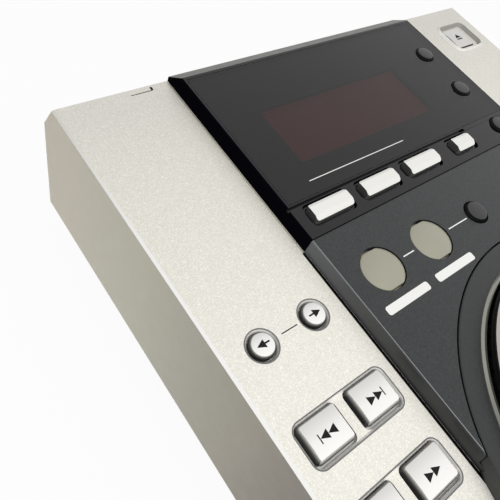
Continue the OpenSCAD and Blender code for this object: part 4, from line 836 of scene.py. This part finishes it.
def add_deck_marks():
    back_x, folder_y, _ = centre_of("folder_back_key")
    deck = dict(height=DECK_Z, body="case", slot="silver_shell")
    mark("folder_line", [line(back_x, back_x, folder_y, FOLDER_LINE)], material=INK_BLACK, **deck)
    rear_y = CASE_HIGH.y / MM - POWER_FROM_REAR
    tick_x = CASE_LOW.x / MM + POWER_FROM_LEFT
    mark("power_leader", [line(tick_x, tick_x, rear_y, reach) for reach in POWER_LINES],
         material=INK_BLACK, **deck)
    # Painted dark reflection: the lines round the troughs
    for first, last in TROUGHS:
        mark(first + "_trough_line", trough_line(first, last), material=RIM_DARK_REFLECTION_LINE, **deck)


def add_icons():
    for key, outlines in ICONS.items():
        x, y, top = centre_of(key)
        placed = [[(x + dx, y + dy) for dx, dy in outline] for outline in outlines]
        mark(key + "_icon", placed, top, BODY_OF[key], SLOT_OF[key], INK_BLACK,
             follow=bpy.data.objects[key + "_finish"])


# ---------- stage ----------

def background_shade(material, lit, pale):
    """Rays that see the background directly, or in gloss or glass, meet the pale shade.

    Light meets the other shade.
    """
    path = add_node(material, "ShaderNodeLightPath")
    seen = path.outputs["Is Camera Ray"]
    for ray in ("Is Glossy Ray", "Is Transmission Ray"):
        seen = combine(material, "ShaderNodeMath", "MAXIMUM", seen, path.outputs[ray])
    blend = add_node(material, "ShaderNodeMixShader")
    link(material, lit.outputs[0], blend.inputs[1])
    link(material, pale.outputs[0], blend.inputs[2])
    return seen, blend


def add_floor():
    """A pale floor that mostly glows white for the camera; what is left of it keeps the shadow."""
    bpy.ops.mesh.primitive_plane_add(size=FLOOR_SIZE)
    floor = bpy.context.object
    floor.name = "floor"
    material, shader = surface("floor", FLOOR_COLOR, roughness=0.9, Specular_IOR_Level=0.1)
    glow = add_node(material, "ShaderNodeEmission", Strength=1.0)
    seen, blend = background_shade(material, shader, glow)
    share = add_node(material, "ShaderNodeMath")
    share.operation = "MULTIPLY"
    share.inputs[1].default_value = FLOOR_GLOW_SHARE
    link(material, seen, share.inputs[0])
    link(material, share.outputs["Value"], blend.inputs["Fac"])
    output = material.node_tree.nodes["Material Output"]
    link(material, blend.outputs["Shader"], output.inputs["Surface"])
    floor.data.materials.append(material)


def add_world():
    """A dim world for the light, and a white one for the camera and for reflections."""
    world = bpy.data.worlds.new("studio")
    bpy.context.scene.world = world
    world.use_nodes = True
    dim = world.node_tree.nodes["Background"]
    dim.inputs["Color"].default_value = (*WORLD_COLOR, 1)
    dim.inputs["Strength"].default_value = WORLD_LIGHT
    white = add_node(world, "ShaderNodeBackground", Strength=1.0)
    white.inputs["Color"].default_value = (1, 1, 1, 1)
    seen, blend = background_shade(world, dim, white)
    link(world, seen, blend.inputs["Fac"])
    link(world, blend.outputs["Shader"], world.node_tree.nodes["World Output"].inputs["Surface"])


def add_lamp():
    lamp = bpy.data.lights.new("overhead", "AREA")
    lamp.shape = "SQUARE"
    lamp.size = LAMP_SIZE
    lamp.energy = LAMP_WATTS
    lamp.color = LAMP_COLOR
    holder = bpy.data.objects.new("overhead", lamp)
    bpy.context.scene.collection.objects.link(holder)
    holder.location = LAMP_PLACE
    aim = Vector(LAMP_TARGET) - Vector(LAMP_PLACE)
    holder.rotation_euler = aim.to_track_quat("-Z", "Y").to_euler()
    holder.visible_glossy = False


def add_camera():
    data = bpy.data.cameras.new("camera")
    data.lens = LENS_MM
    data.sensor_width = SENSOR_MM
    data.clip_start = 0.01
    camera = bpy.data.objects.new("camera", data)
    bpy.context.scene.collection.objects.link(camera)
    aim = (CAMERA_TARGET - CAMERA_PLACE).to_track_quat("-Z", "Y").to_matrix().to_4x4()
    roll = Matrix.Rotation(CAMERA_ROLL, 4, "Z")
    camera.matrix_world = Matrix.Translation(CAMERA_PLACE) @ aim @ roll
    bpy.context.scene.camera = camera


add_camera()
dress_case()
dress_jog()
dress_keys()
add_panel_marks()
add_deck_marks()
add_icons()
add_floor()
add_world()
add_lamp()

bpy.context.scene.view_settings.view_transform = "Standard"
